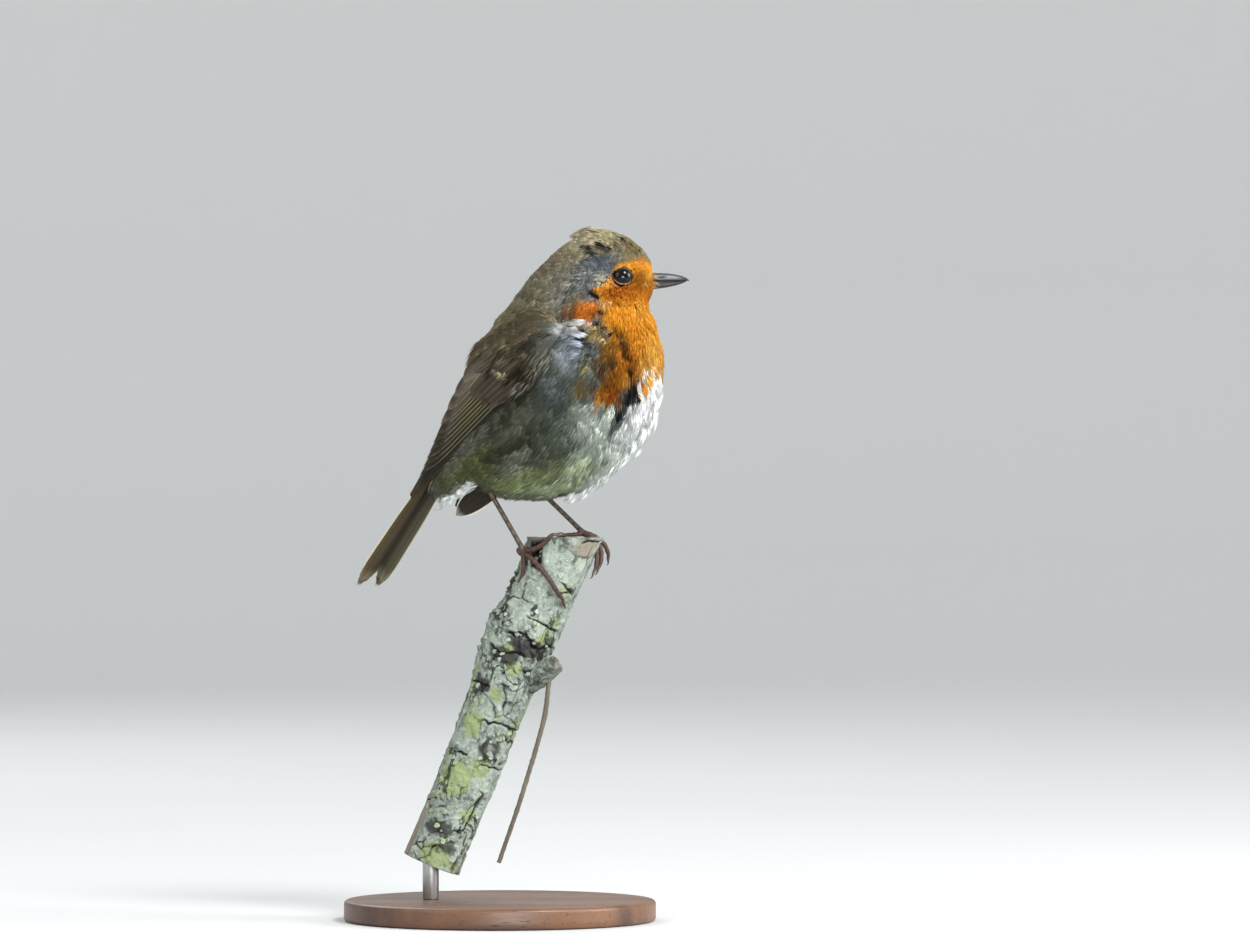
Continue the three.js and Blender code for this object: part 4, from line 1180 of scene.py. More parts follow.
def row_of(form, sink, starts, ends, widths, low, high, tint, fringe, edge, tip, hand, shape, seed, kinds=3):
    """Roots for a row of vanes, each from one place on a wing to another."""
    rng = np.random.default_rng(seed)
    starts, ends = np.array(starts, float), np.array(ends, float)
    root = form.point(starts[:, 0], starts[:, 1], sink)
    end = form.point(ends[:, 0], ends[:, 1], sink)
    root[:, 1] = end[:, 1] = (root[:, 1] + end[:, 1]) / 2
    count = len(root)
    outward = np.tile([0.0, form.side, 0.0], (count, 1))
    tint = linear(np.broadcast_to(tint, (count, 3))) * (1 + rng.uniform(-0.08, 0.08, (count, 1)))
    fringe = linear(np.broadcast_to(fringe, (count, 3))) * rng.uniform(0.8, 1.1, (count, 1))
    return roots_of(root, unit(end - root), outward, np.linalg.norm(end - root, axis=1), widths, low, high, tint,
                    shape + rng.integers(0, kinds, count), (starts + ends) / 2, aim=outward, fringe=fringe,
                    edge=edge, tip=tip, hand=hand)


def gather(rows):
    return {key: np.concatenate([row[key] for row in rows]) for key in rows[0]}


# Strokes over the shoulder and the coverts: from, to, scatter, width, colour, how many. The first three dark rows
# are painted shadow between the scapulars and the lower coverts.
WING_STROKES = [((8.5, 166.5), (3.0, 158.5), 0.9, 1.0, (50, 43, 31), 14),
                ((5.0, 163.0), (0.5, 156.5), 0.8, 0.9, (50, 43, 31), 10),
                ((10.5, 164.5), (5.0, 157.5), 0.8, 0.9, (48, 42, 30), 12),
                ((2.0, 170.0), (-4.0, 163.0), 0.8, 0.8, (66, 59, 46), 9),
                ((9.0, 173.0), (2.0, 167.0), 0.9, 0.9, (60, 53, 40), 10),
                ((14.0, 172.0), (7.0, 167.0), 0.9, 0.9, (64, 57, 44), 10),
                ((12.0, 177.0), (5.0, 172.5), 0.8, 0.8, (76, 68, 54), 9),
                ((0.0, 165.5), (-5.5, 158.5), 0.7, 0.7, (66, 58, 45), 8),
                ((16.5, 174.5), (10.0, 170.5), 0.9, 0.8, (72, 66, 54), 8),
                ((6.5, 175.5), (0.0, 169.5), 0.8, 0.6, (134, 127, 106), 9),
                ((3.0, 168.0), (-3.0, 161.5), 0.8, 0.6, (118, 110, 89), 9),
                ((15.5, 170.5), (8.5, 163.5), 0.9, 0.6, (116, 113, 99), 9),
                ((13.0, 168.0), (6.5, 160.5), 0.8, 0.6, (126, 123, 106), 10),
                ((11.5, 164.0), (4.5, 156.8), 0.7, 0.5, (134, 129, 109), 9),
                ((-1.5, 170.5), (-6.5, 163.5), 0.7, 0.6, (124, 119, 100), 8),
                ((-0.8, 162.8), (-3.4, 160.2), 0.45, 0.6, (140, 134, 108), 7),
                ((0.4, 162.0), (-2.0, 159.5), 0.40, 0.6, (166, 160, 126), 9),
                ((1.7, 161.2), (-0.7, 158.8), 0.40, 0.6, (172, 165, 130), 9),
                ((2.9, 160.6), (0.4, 158.1), 0.45, 0.6, (146, 140, 110), 7),
                ((15.0, 165.5), (10.5, 159.5), 0.8, 0.6, (132, 131, 118), 8)]


def wing_vanes(form, hand, reach=1.0):
    """The flight feathers and coverts of one folded wing, in rows from the lowest layer to the top one."""
    rows = []
    find = WING_FORMS["right"].find

    def row(starts, ends, widths, low, high, tint, fringe, edge, tip, seed, shape=0):
        ends = np.asarray(ends, float) * [reach, 1.0]
        rows.append(row_of(form, WING_SINK, starts, ends, widths, low, high, tint, fringe, edge, tip, hand, shape,
                           seed))

    # Flight feathers: seven pale outer edges that run close together, over a long dark one and a short one.
    k = np.arange(9)
    starts = np.concatenate([np.linspace((-2.5, 160.7), (2.0, 157.2), 7), [(0.4, 156.6), (8.6, 159.8)]])
    ends = np.concatenate([np.linspace((-18.3, 145.4), (-24.9, 130.7), 7),
                           [(-26.8, 125.2) if hand > 0 else (-24.0, 131.0), (-13.4, 141.3)]])
    row(find(starts), find(ends), np.where(k < 7, 3.0, 2.5), 1.80 - 0.10 * k, 1.70 - 0.09 * k,
        np.linspace((50, 43, 31), (17, 14, 10), 9), np.linspace((130, 122, 84), (112, 105, 70), 9),
        np.where(k < 7, 0.9, 0.12), 0.15, 21, 3)
    # Dark soft feathers over the roots of the pale edges.
    i = np.arange(12)
    step = 0.9 * np.sin(2.4 * i)[:, None]
    row(find(np.linspace((-1.5, 163.6), (6.6, 157.9), 12)),
        find(np.linspace((-9.4, 154.8), (-2.2, 151.0), 12) + step), 1.9, 1.92 + 0.03 * (i % 2),
        1.98 + 0.05 * (i % 2), np.where((i % 2 == 0)[:, None], (66, 57, 44), (47, 39, 30)), (104, 96, 72), 0.5, 0.1,
        26)
    # Tertials, soft edged, along the wing's upper side.
    i = np.arange(4)
    row(find(np.linspace((0.6, 166.6), (-2.0, 171.4), 4)),
        find([(-18.6, 145.8), (-16.6, 149.7), (-14.2, 153.7), (-11.4, 158.0)]), 3.4 + 0.2 * i, 1.90 + 0.07 * i,
        1.85 + 0.07 * i, np.linspace((62, 53, 40), (96, 86, 70), 4), (150, 138, 112), 0.5, 0.3, 23, 3)
    # Greater coverts, narrow and pale edged; a few of them end in the pale bar.
    i = np.arange(18)
    c = 0.03 + 0.060 * i
    bar = (c > 0.54) & (c < 0.74)
    row(np.stack([np.full(18, 0.12), 0.08 + 0.92 * c], -1),
        np.stack([0.475 - 0.19 * c + 0.008 * np.sin(5.0 * i), c], -1), 2.5, 2.0 - 0.02 * i, 2.1 - 0.02 * i,
        np.where((i % 2 == 0)[:, None], (76, 66, 52), (54, 46, 35)) * (1.15 - 0.5 * c)[:, None],
        np.where(bar[:, None], (160, 152, 120), (134, 126, 104)), np.where(c < 0.85, 0.7, 0.3), 0.0, 25)
    return gather(rows)


def wing_strokes(form, hand):
    """Soft narrow feathers that streak the shoulder and the coverts; the darkest rows paint the shadow between the
    scapulars and the lower coverts.
    """
    rng = np.random.default_rng(33)
    starts, ends, widths, tints = [], [], [], []
    for start, end, scatter, width, colour, count in WING_STROKES:
        for _ in range(count):
            shift = rng.normal(0, scatter, 2)
            starts.append(np.array(start) + shift)
            ends.append(np.array(end) + shift * 0.7 + rng.normal(0, 0.3, 2))
            widths.append(width * rng.uniform(0.8, 1.3))
            tints.append(np.array(colour) * rng.uniform(0.85, 1.15))
    find = WING_FORMS["right"].find
    return row_of(form, WING_SINK, find(starts), find(ends), np.array(widths), 1.5, 2.7, np.array(tints), (0, 0, 0),
                  0, 0, hand, 6, 34, 2)


WING_FORMS = {side: WingForm(side) for side in WINGS}
COAT_TREE = coat_tree()


# ---- The skin and the coat over it ----


def eye_reach(x, z, grow=0.0):
    """How far from the eye's middle, 1 at the edge of its opening."""
    return np.hypot((x - EYE_X) / (EYE_SPAN[0] + grow), (z - EYE_Z) / (EYE_SPAN[1] + grow))


def skin_points(rings, sides, sockets=True):
    """The skin's points, one coat's depth inside the outer form, sunk round the eyes where they have sockets."""
    section, angle = np.meshgrid(np.linspace(0, SECTIONS, rings), circle(sides), indexing="ij")
    at, normal, _ = body_frame(section, angle)
    sink = coat_depth(section, angle)
    if sockets:
        straight = body_point(section, angle)
        beside = np.abs(straight[..., 1]) > 3
        sink = sink + 2.4 * beside * (1 - smooth(0.9, 1.75, eye_reach(straight[..., 0], straight[..., 2])))
    points = (at - normal * sink[..., None]).reshape(-1, 3)
    return points, section.ravel(), angle.ravel()


def thigh_radius(share, less):
    return THIGH_RADII[0] + (THIGH_RADII[1] - THIGH_RADII[0]) * share**0.8 - less


def thigh_tube(side, less, rings=24, sides=20):
    leg = LEGS[side]
    return tube([leg["hip"], leg["ankle"]], lambda share, angle: thigh_radius(share, less), rings, sides)


def make_skin():
    """One downy skin under the coat, for the trunk, neck, head and thighs."""
    rings, sides = 280, 176
    points, section, angle = skin_points(rings, sides)
    shell = close_ends(points, rings, sides)
    shells = [shell, thigh_tube("right", THIGH_COAT), thigh_tube("left", THIGH_COAT)]
    points, faces = join_shells(shells)
    mesh = mesh_from("skin", points, faces)
    write_values(mesh, "tint", "FLOAT_COLOR", plumage(points))
    make_piece("skin", mesh, skin_paint(), ("trunk", "neck", "head", "thigh_right", "thigh_left"))


def body_form_sheet():
    rings, sides = 190, 128
    points, _, _ = skin_points(rings, sides, sockets=False)
    shell_points, faces = close_ends(points, rings, sides)
    return hold("body_form", mesh_from("body_form", shell_points, faces))


def coat_sizes(section, angle):
    """Length and width of the tufts, in millimetres."""
    lower = 0.5 - 0.5 * np.cos(angle)
    body = 6.0 + 2.4 * lower
    head = 3.6 - 1.3 * smooth(0.12, 0.4, lower)
    length = body + (head - body) * smooth(9.0, 11.6, section)
    length = length * (1 - 0.42 * smooth(13.6, 15.6, section))
    return length, length * (0.32 + 0.14 * smooth(9.0, 11.6, section))


def scatter_roots(cover, seed):
    """Sections and angles of tuft roots, so many that each spot lies under about cover tufts."""
    rng = np.random.default_rng(seed)
    low, high, rows, columns = 0.5, 15.75, 340, 260
    edges = np.linspace(low, high, rows + 1)
    middles = (edges[:-1] + edges[1:]) / 2
    section, angle = np.meshgrid(middles, (np.arange(columns) + 0.5) * 2 * np.pi / columns, indexing="ij")
    h = 1e-3
    ds = (body_point(section + h, angle) - body_point(section - h, angle)) / (2 * h)
    da = (body_point(section, angle + h) - body_point(section, angle - h)) / (2 * h)
    area = np.linalg.norm(np.cross(ds, da), axis=-1) * (high - low) / rows * 2 * np.pi / columns
    length, width = coat_sizes(section, angle)
    wanted = (area * cover / (length * width)).ravel()
    total = np.cumsum(wanted)
    count = int(total[-1] + 0.5)
    picks = np.searchsorted(total, np.arange(0.5, total[-1], 1.0) + rng.uniform(-0.5, 0.5, count))
    picks = np.clip(picks, 0, len(wanted) - 1)
    s = section.ravel()[picks] + rng.uniform(-0.5, 0.5, len(picks)) * (high - low) / rows * 2
    a = angle.ravel()[picks] + rng.uniform(-0.5, 0.5, len(picks)) * 2 * np.pi / columns * 2
    return np.clip(s, low, high), a % (2 * np.pi)


def vividness(tint):
    """How far each colour is from grey."""
    return (tint.max(-1) - tint.min(-1)) / np.maximum(tint.max(-1), 1e-3)


def narrow_tuft(rng, count):
    return FANS + rng.integers(0, NARROWS, count)


def any_tuft(rng, narrow):
    """A narrow tuft where narrow is true, and a fan elsewhere."""
    return np.where(narrow, narrow_tuft(rng, len(narrow)), rng.integers(0, FANS, len(narrow)))


def body_roots(section, angle, seed):
    """Roots on the body's form, with the way they lie, their sizes and their colours."""
    rng = np.random.default_rng(seed)
    count = len(section)
    at, normal, lie = body_frame(section, angle)
    depth = coat_depth(section, angle)
    place = at - normal * depth[:, None]
    length, width = coat_sizes(section, angle)
    straight = body_point(section, angle)
    # Ruffles turn the lie a little, in groups and one by one.
    side = np.cross(normal, lie)
    turn = 0.18 * noise(place, 7.0, seed + 1) + rng.normal(0, 0.10, count)
    lie = unit(lie * np.cos(turn)[:, None] + side * np.sin(turn)[:, None])
    near_eye = (np.abs(straight[:, 1]) > 3) & (section > 10)
    reach = np.where(near_eye, eye_reach(straight[:, 0], straight[:, 2]), 9.0)
    out = np.stack([straight[:, 0] - EYE_X, np.zeros(count), straight[:, 2] - EYE_Z], -1)
    out = unit(out - normal * (out * normal).sum(-1, keepdims=True))
    inward = np.minimum((lie * out).sum(-1), 0)
    bend = (1 - smooth(1.5, 2.4, reach))
    lie = unit(lie - out * (inward * bend * 1.15)[:, None] + out * (0.25 * bend)[:, None])
    lie = unit(lie - normal * (lie * normal).sum(-1, keepdims=True))
    length = length * rng.uniform(0.86, 1.18, count) * (1 - 0.45 * (1 - smooth(1.1, 2.2, reach)))
    width = width * rng.uniform(0.85, 1.2, count) * (1 - 0.3 * (1 - smooth(1.1, 2.2, reach)))
    under = (1 - smooth(2.2, 3.6, section)) * smooth(0.5, 0.8, 0.5 - 0.5 * np.cos(angle))
    uneven = 0.92 + 0.22 * noise(place, 4.0, seed + 2) + rng.uniform(-0.16, 0.22, count)
    high = depth * (1 - 0.55 * under) * uneven * (1 - 0.4 * (1 - smooth(1.0, 1.8, reach)))
    tip = place + lie * (length * 0.62)[:, None] + normal * depth[:, None]
    streaks = 0.42 * lie_noise(section, angle, 0.7, 8.0, seed + 3)
    streaks = streaks + 0.34 * lie_noise(section, angle, 2.0, 13.0, seed + 4)
    streaks = streaks * (1 - 0.35 * smooth(9.5, 11.5, section))
    gaps = smooth(0.30, 0.62, lie_noise(section, angle, 1.0, 7.0, seed + 5))
    tint = plumage(tip)
    grey = 1 - smooth(0.25, 0.6, vividness(tint))
    calm = (1 - 0.65 * smooth(0.45, 0.75, tint.min(-1))) * (0.38 + 0.62 * grey)
    light = (1 + (streaks + rng.uniform(-0.14, 0.14, count)) * calm) * (1 - gaps * calm * (0.15 + 0.22 * grey))
    shape = any_tuft(rng, rng.uniform(0, 1, count) < 0.4)
    return roots_of(place, lie, normal, length, width, ROOT_LOW, high, tint * light[:, None], shape,
                    np.stack([angle, section], -1), section=section, angle=angle, reach=reach, straight=straight)


def clump(roots, seed):
    """Draws tufts together into feathers: their points lean towards a shared one and take on its colour."""
    rng = np.random.default_rng(seed)
    count = len(roots["place"])
    head = smooth(9.0, 11.0, roots["section"])
    apart = 2.7 - 1.4 * head
    cells = np.floor(roots["place"] / apart[:, None]).astype(int)
    leaders = {}
    for i in rng.permutation(count):
        leaders.setdefault(tuple(cells[i]), i)
    chosen = list(leaders.values())
    tree = KDTree(len(chosen))
    for i in chosen:
        tree.insert(Vector(roots["place"][i]), int(i))
    tree.balance()
    nearest = np.array([tree.find(Vector(p))[1] for p in roots["place"]])
    reach = roots["length"][:, None]
    lead = roots["place"][nearest] + roots["lie"][nearest] * (roots["length"][nearest] * 1.05)[:, None]
    lie = roots["lie"] * reach + (lead - roots["place"] - roots["lie"] * reach) * (0.60 - 0.35 * head)[:, None]
    roots["lie"] = unit(lie - roots["normal"] * (lie * roots["normal"]).sum(-1, keepdims=True))
    lightness, lifted = rng.uniform(-1, 1, count)[nearest], rng.uniform(-1, 1, count)[nearest]
    orange = smooth(0.4, 0.75, vividness(roots["tint"]))
    roots["high"] = roots["high"] * (1 + (0.22 - 0.08 * np.maximum(head, orange)) * lifted)
    shared = (0.45 - 0.30 * head)[:, None]
    mixed = roots["tint"] * (1 - shared) + roots["tint"][nearest] * shared
    roots["tint"] = np.clip(mixed * (1 + (0.15 - 0.07 * np.maximum(head, orange)) * lightness)[:, None], 0, 1)
    return roots


def lie_noise(section, angle, across, along, seed):
    """Noise drawn out along the coat, with streaks about across by along millimetres on the trunk."""
    spot = np.stack([angle * 20 / across, section * 8 / along, 0 * angle], -1)
    return noise(spot, 1.0, seed)


def beside(spots, ahead):
    """Sections, angles and lies on the near side of the body for places and headings seen across it."""
    section, angle = np.meshgrid(np.linspace(0.2, 15.8, 320), np.linspace(math.pi, 2 * math.pi, 150), indexing="ij")
    section, angle = section.ravel(), angle.ravel()
    at, normal, _ = body_frame(section, angle)
    facing = normal[:, 1] < 0.25
    section, angle, at, normal = section[facing], angle[facing], at[facing], normal[facing]
    tree = KDTree(len(at))
    for i, p in enumerate(at):
        tree.insert(Vector((p[0], 0, p[2])), i)
    tree.balance()
    picks = np.array([tree.find(Vector((x, 0, z)))[1] for x, z in spots])
    way = np.stack([np.cos(ahead), 0 * ahead, np.sin(ahead)], -1)
    normal = normal[picks]
    return section[picks], angle[picks], unit(way - normal * (way * normal).sum(-1, keepdims=True))


def part_of(roots, keep):
    return {key: value[keep] for key, value in roots.items()}


def make_coat():
    """The body's coat, in pieces by region."""
    form = body_form_sheet()
    fans = [needle_tuft(60 + k) for k in range(FANS)]
    narrows = [needle_tuft(66 + k, spread=0.10, split=0.85) for k in range(NARROWS)]
    shapes = shape_collection("tufts", fans + narrows)
    finish = plumage_paint("plumage")
    section, angle = scatter_roots(COVER, 1)
    roots = clump(body_roots(section, angle, 2), 3)
    straight = roots["straight"]
    hidden = roots["reach"] < 1.0
    ends = unpose(roots["place"] + roots["lie"] * roots["length"][:, None])
    for side, wing in WING_FORMS.items():
        covered = straight[:, 1] * WINGS[side]["side"] > 1
        outline = wing.outline()
        low = roots["section"] < 7.5
        inside = polygon_reach(straight[:, 0], straight[:, 2], outline)
        below = straight[:, 2] < 168
        hidden |= covered & (inside > np.where(low, np.where(below, -0.8, 0.8), 3.5))
        hidden |= covered & low & (polygon_reach(ends[:, 0], ends[:, 2], outline) > np.where(below, -0.6, 0.6))
        roots["high"] *= np.where(covered & low & below, 0.45 + 0.55 * smooth(0.0, 5.0, -inside), 1.0)
    roots = part_of(roots, ~hidden)
    section, angle = roots["section"], roots["angle"]
    lower, left = 0.5 - 0.5 * np.cos(angle), np.sin(angle) > 0
    head, top = section > HEAD_FROM, lower < 0.16
    breast = (section > BREAST_FROM) & ~head & (lower > 0.5)
    regions = {
        "coat_crown": head & top,
        "coat_face_right": head & ~top & ~left,
        "coat_face_left": head & ~top & left,
        "coat_breast_right": breast & ~left,
        "coat_breast_left": breast & left,
        "coat_nape": (section > BREAST_FROM) & ~head & ~breast,
        "coat_back": (section <= BREAST_FROM) & (lower < 0.3),
        "coat_belly_right": (section <= BREAST_FROM) & (lower >= 0.3) & ~left,
        "coat_belly_left": (section <= BREAST_FROM) & (lower >= 0.3) & left,
    }
    for name, keep in regions.items():
        slot = "plumage_face" if "face" in name or "crown" in name else "plumage_body"
        lay_coat(name, part_of(roots, keep), shapes, form, finish)
    return form, shapes, finish


# Marks that a few narrow feathers make: where, how far they scatter, their heading in degrees, length, width,
# colour, how many, and how far they stand up.
NEAR_MARKS = [
    # dark strokes over the eye and on the crown
    ((26.8, 197.4), 1.0, 150, 3.2, 0.8, (34, 33, 33), 9, 1.2),
    ((28.8, 199.0), 0.9, 146, 3.0, 0.8, (36, 34, 32), 8, 1.2),
    ((31.0, 198.0), 1.0, 142, 3.4, 0.8, (32, 31, 32), 10, 1.2),
    ((28.4, 195.6), 0.9, 160, 3.0, 0.7, (44, 45, 48), 7, 1.2),
    ((33.4, 197.0), 0.8, 140, 2.8, 0.7, (44, 42, 38), 6, 1.2),
    ((36.0, 200.6), 0.8, 140, 3.0, 0.7, (54, 46, 34), 6, 1.2),
    ((38.0, 199.0), 0.8, 136, 3.0, 0.7, (50, 42, 30), 7, 1.2),
    ((40.2, 197.2), 0.8, 132, 2.8, 0.7, (50, 42, 28), 7, 1.2),
    ((42.2, 195.6), 0.7, 130, 2.4, 0.6, (58, 44, 26), 5, 1.2),
    ((35.4, 198.2), 0.8, 140, 2.6, 0.7, (64, 60, 50), 5, 1.2),
    ((30.6, 201.2), 1.0, 158, 3.4, 0.7, (172, 162, 132), 8, 1.4),
    ((34.4, 201.2), 1.2, 150, 3.4, 0.7, (176, 166, 132), 8, 1.3),
    # pale and dark streaks behind the eye and at the ear
    ((31.0, 189.6), 1.0, 186, 3.6, 0.6, (168, 170, 164), 6, 1.2),
    ((26.6, 190.6), 1.6, 190, 4.0, 0.7, (150, 154, 158), 9, 1.2),
    ((30.2, 181.9), 0.6, 142, 5.0, 0.7, (36, 26, 22), 12, 1.5),
    ((31.2, 178.8), 0.6, 186, 3.2, 0.6, (66, 38, 20), 6, 1.3),
    ((33.2, 181.6), 0.5, 180, 1.6, 0.4, (236, 190, 146), 3, 1.2),
    ((31.6, 187.8), 0.5, 168, 2.6, 0.5, (196, 186, 140), 5, 1.2),
    # white fringe over the bend of the wing
    ((27.0, 175.6), 1.0, 184, 7.4, 0.9, (208, 207, 202), 15, 1.9),
    ((24.6, 174.2), 1.1, 190, 7.0, 0.9, (190, 189, 184), 12, 1.9),
    ((22.0, 174.6), 1.0, 182, 6.4, 0.8, (172, 170, 162), 10, 1.8),
    ((22.6, 172.6), 1.0, 190, 6.4, 0.8, (156, 160, 162), 8, 1.8),
    # curved dark and pale streaks below it
    ((27.2, 172.6), 0.8, 168, 6.4, 0.7, (40, 42, 48), 9, 1.9),
    ((26.6, 171.2), 0.8, 170, 6.4, 0.7, (206, 212, 220), 9, 2.0),
    ((28.0, 170.4), 0.8, 172, 6.4, 0.7, (44, 48, 54), 9, 1.9),
    ((26.4, 169.2), 0.9, 178, 6.2, 0.8, (176, 186, 196), 9, 1.9),
    ((29.6, 168.6), 0.8, 176, 5.4, 0.7, (60, 64, 68), 8, 1.8),
    ((25.0, 166.8), 1.2, 188, 6.4, 0.9, (150, 160, 170), 9, 1.8),
    ((28.4, 166.6), 0.9, 196, 4.6, 0.8, (70, 70, 62), 7, 1.7),
    # dark flecks along the upper edge of the breast
    ((30.2, 176.4), 0.7, 215, 2.6, 0.7, (40, 32, 26), 6, 1.4),
    ((31.8, 174.6), 0.7, 215, 2.6, 0.7, (44, 34, 26), 6, 1.4),
    ((33.6, 172.6), 0.7, 220, 2.6, 0.7, (48, 36, 26), 6, 1.4),
    ((29.0, 174.2), 0.8, 205, 3.0, 0.8, (196, 160, 84), 6, 1.4),
    ((31.6, 171.4), 0.8, 215, 3.0, 0.8, (206, 190, 150), 5, 1.4),
    ((36.6, 171.0), 0.6, 238, 3.0, 0.7, (58, 34, 20), 7, 1.3),
    # the parting down the breast and the line below it: dark feather bases with painted shade in the crease
    ((38.0, 168.0), 0.6, 262, 4.6, 0.7, (50, 28, 14), 8, 1.2),
    ((38.8, 163.4), 0.6, 264, 4.8, 0.7, (40, 24, 14), 9, 1.2),
    ((39.8, 159.0), 0.8, 274, 5.4, 0.9, (18, 18, 20), 14, 1.3),
    ((38.8, 157.0), 0.9, 258, 6.0, 0.9, (20, 22, 24), 14, 1.3),
    ((41.2, 156.4), 0.6, 282, 4.6, 0.7, (24, 26, 28), 8, 1.4),
    ((37.0, 151.6), 0.8, 250, 6.4, 0.8, (30, 34, 38), 12, 1.2),
    ((35.0, 146.8), 0.7, 246, 6.0, 0.7, (66, 74, 80), 8, 1.1),
    ((42.4, 158.6), 0.6, 278, 5.0, 0.8, (214, 140, 44), 8, 1.8),
    ((43.6, 161.4), 0.8, 276, 5.0, 0.8, (244, 190, 96), 9, 1.8),
    ((41.4, 155.6), 0.4, 285, 3.4, 0.5, (240, 226, 200), 4, 2.0),
    # brown and olive feathers on the breast's left
    ((31.4, 163.6), 1.0, 240, 4.6, 0.9, (58, 50, 34), 9, 1.2),
    ((33.8, 165.8), 0.8, 244, 4.4, 0.8, (84, 60, 30), 8, 1.2),
    ((25.4, 158.8), 1.2, 236, 4.6, 1.0, (120, 104, 48), 10, 1.2),
    ((27.0, 165.4), 0.9, 228, 4.4, 0.8, (60, 60, 48), 8, 1.3),
    ((26.2, 163.4), 0.8, 230, 3.8, 0.8, (166, 152, 100), 6, 1.4),
]
# Loose points that stand out below: where each ends, its heading, length and how many feathers it holds.
LOOSE_POINTS = [
    ((45.2, 150.2), 266, 8, 4), ((45.4, 146.0), 260, 8, 6), ((44.4, 141.4), 250, 8, 8), ((41.2, 137.6), 246, 8, 8),
    ((38.0, 135.0), 240, 8, 7), ((33.6, 130.4), 238, 8, 8), ((29.6, 127.0), 238, 7, 6), ((25.4, 123.6), 236, 7, 7),
    ((19.2, 121.8), 226, 6, 5), ((42.6, 139.4), 248, 7, 4), ((36.0, 132.6), 240, 7, 4), ((22.6, 122.2), 230, 7, 5),
    ((28.0, 125.4), 236, 8, 5), ((44.8, 143.4), 254, 8, 5), ((31.4, 128.8), 238, 8, 5)]


def place_marks(marks, seed):
    """Roots for marks: each mark a group of narrow feathers near one place of the near side."""
    rng = np.random.default_rng(seed)
    spots, ahead, length, width, tint, stand = [], [], [], [], [], []
    for (x, z), scatter, heading, long, wide, colour, count, up in marks:
        turn = math.radians(heading)
        for _ in range(count):
            along, across = rng.normal(0, scatter * 0.6), rng.normal(0, scatter * 0.32)
            spots.append((x + along * math.cos(turn) - across * math.sin(turn),
                          z + along * math.sin(turn) + across * math.cos(turn)))
            ahead.append(turn + rng.normal(0, 0.10))
            length.append(long * rng.uniform(0.75, 1.15))
            width.append(wide * rng.uniform(0.8, 1.25))
            tint.append(linear(colour) * rng.uniform(0.8, 1.2))
            stand.append(min(up, 1.2 if sum(colour) < 330 else 3) * rng.uniform(0.9, 1.1))
    section, angle, lie = beside(spots, np.array(ahead))
    at, normal, _ = body_frame(section, angle)
    depth = coat_depth(section, angle)
    return roots_of(at - normal * (depth * 0.9)[:, None], lie, normal, np.array(length), np.array(width),
                    depth * 0.25, depth * np.array(stand), np.array(tint), narrow_tuft(rng, len(spots)),
                    np.stack([angle, section], -1))


def to_far_side(roots):
    """The same roots on the other side of the bird."""
    def over(points):
        return pose(unpose(points) * [1, -1, 1])

    far = dict(roots)
    far["place"] = over(roots["place"])
    far["lie"] = unit(over(roots["place"] + roots["lie"]) - far["place"])
    far["normal"] = unit(over(roots["place"] + roots["normal"]) - far["place"])
    return far


def make_loose_points(shapes, finish):
    """White points along the lower breast and the belly, on a sheet down the bird's middle."""
    line = body_frame(np.linspace(1, 12, 240), np.full(240, np.pi))[0]
    x, z = np.meshgrid(np.linspace(6, 56, 50), np.linspace(112, 162, 50), indexing="ij")

    def middle(x, z):
        return line[np.argmin(np.hypot(line[:, 0] - x[..., None], line[:, 2] - z[..., None]), -1), 1]

    sheet = form_sheet("loose_form", np.stack([x, middle(x, z), z], -1))
    rng = np.random.default_rng(17)
    rows = []
    for (x, z), heading, long, count in LOOSE_POINTS:
        for _ in range(count):
            turn, reach = math.radians(heading + rng.normal(0, 6)), long * rng.uniform(0.75, 1.15)
            way = np.array([math.cos(turn), 0.0, math.sin(turn)])
            end = np.array([x - 0.7 + rng.normal(0, 0.4), 0.0, z + 0.6 + rng.normal(0, 0.4)])
            rows.append((end - way * reach, way, reach, rng.uniform(0.6, 1.1), rng.uniform(-1.2, 1.2)))
    place, lie, long, width, level = (np.array(part) for part in zip(*rows))
    place[:, 1] = middle(place[:, 0], place[:, 2])
    count = len(place)
    tint = linear((228, 233, 230)) * rng.uniform(0.75, 1.1, (count, 1))
    roots = roots_of(place, lie, np.tile([0, -1.0, 0], (count, 1)), long, width, level, level, tint,
                     narrow_tuft(rng, count), place[:, [0, 2]])
    lay_coat("coat_loose_points", roots, shapes, sheet, finish)
    bpy.data.objects.remove(sheet)


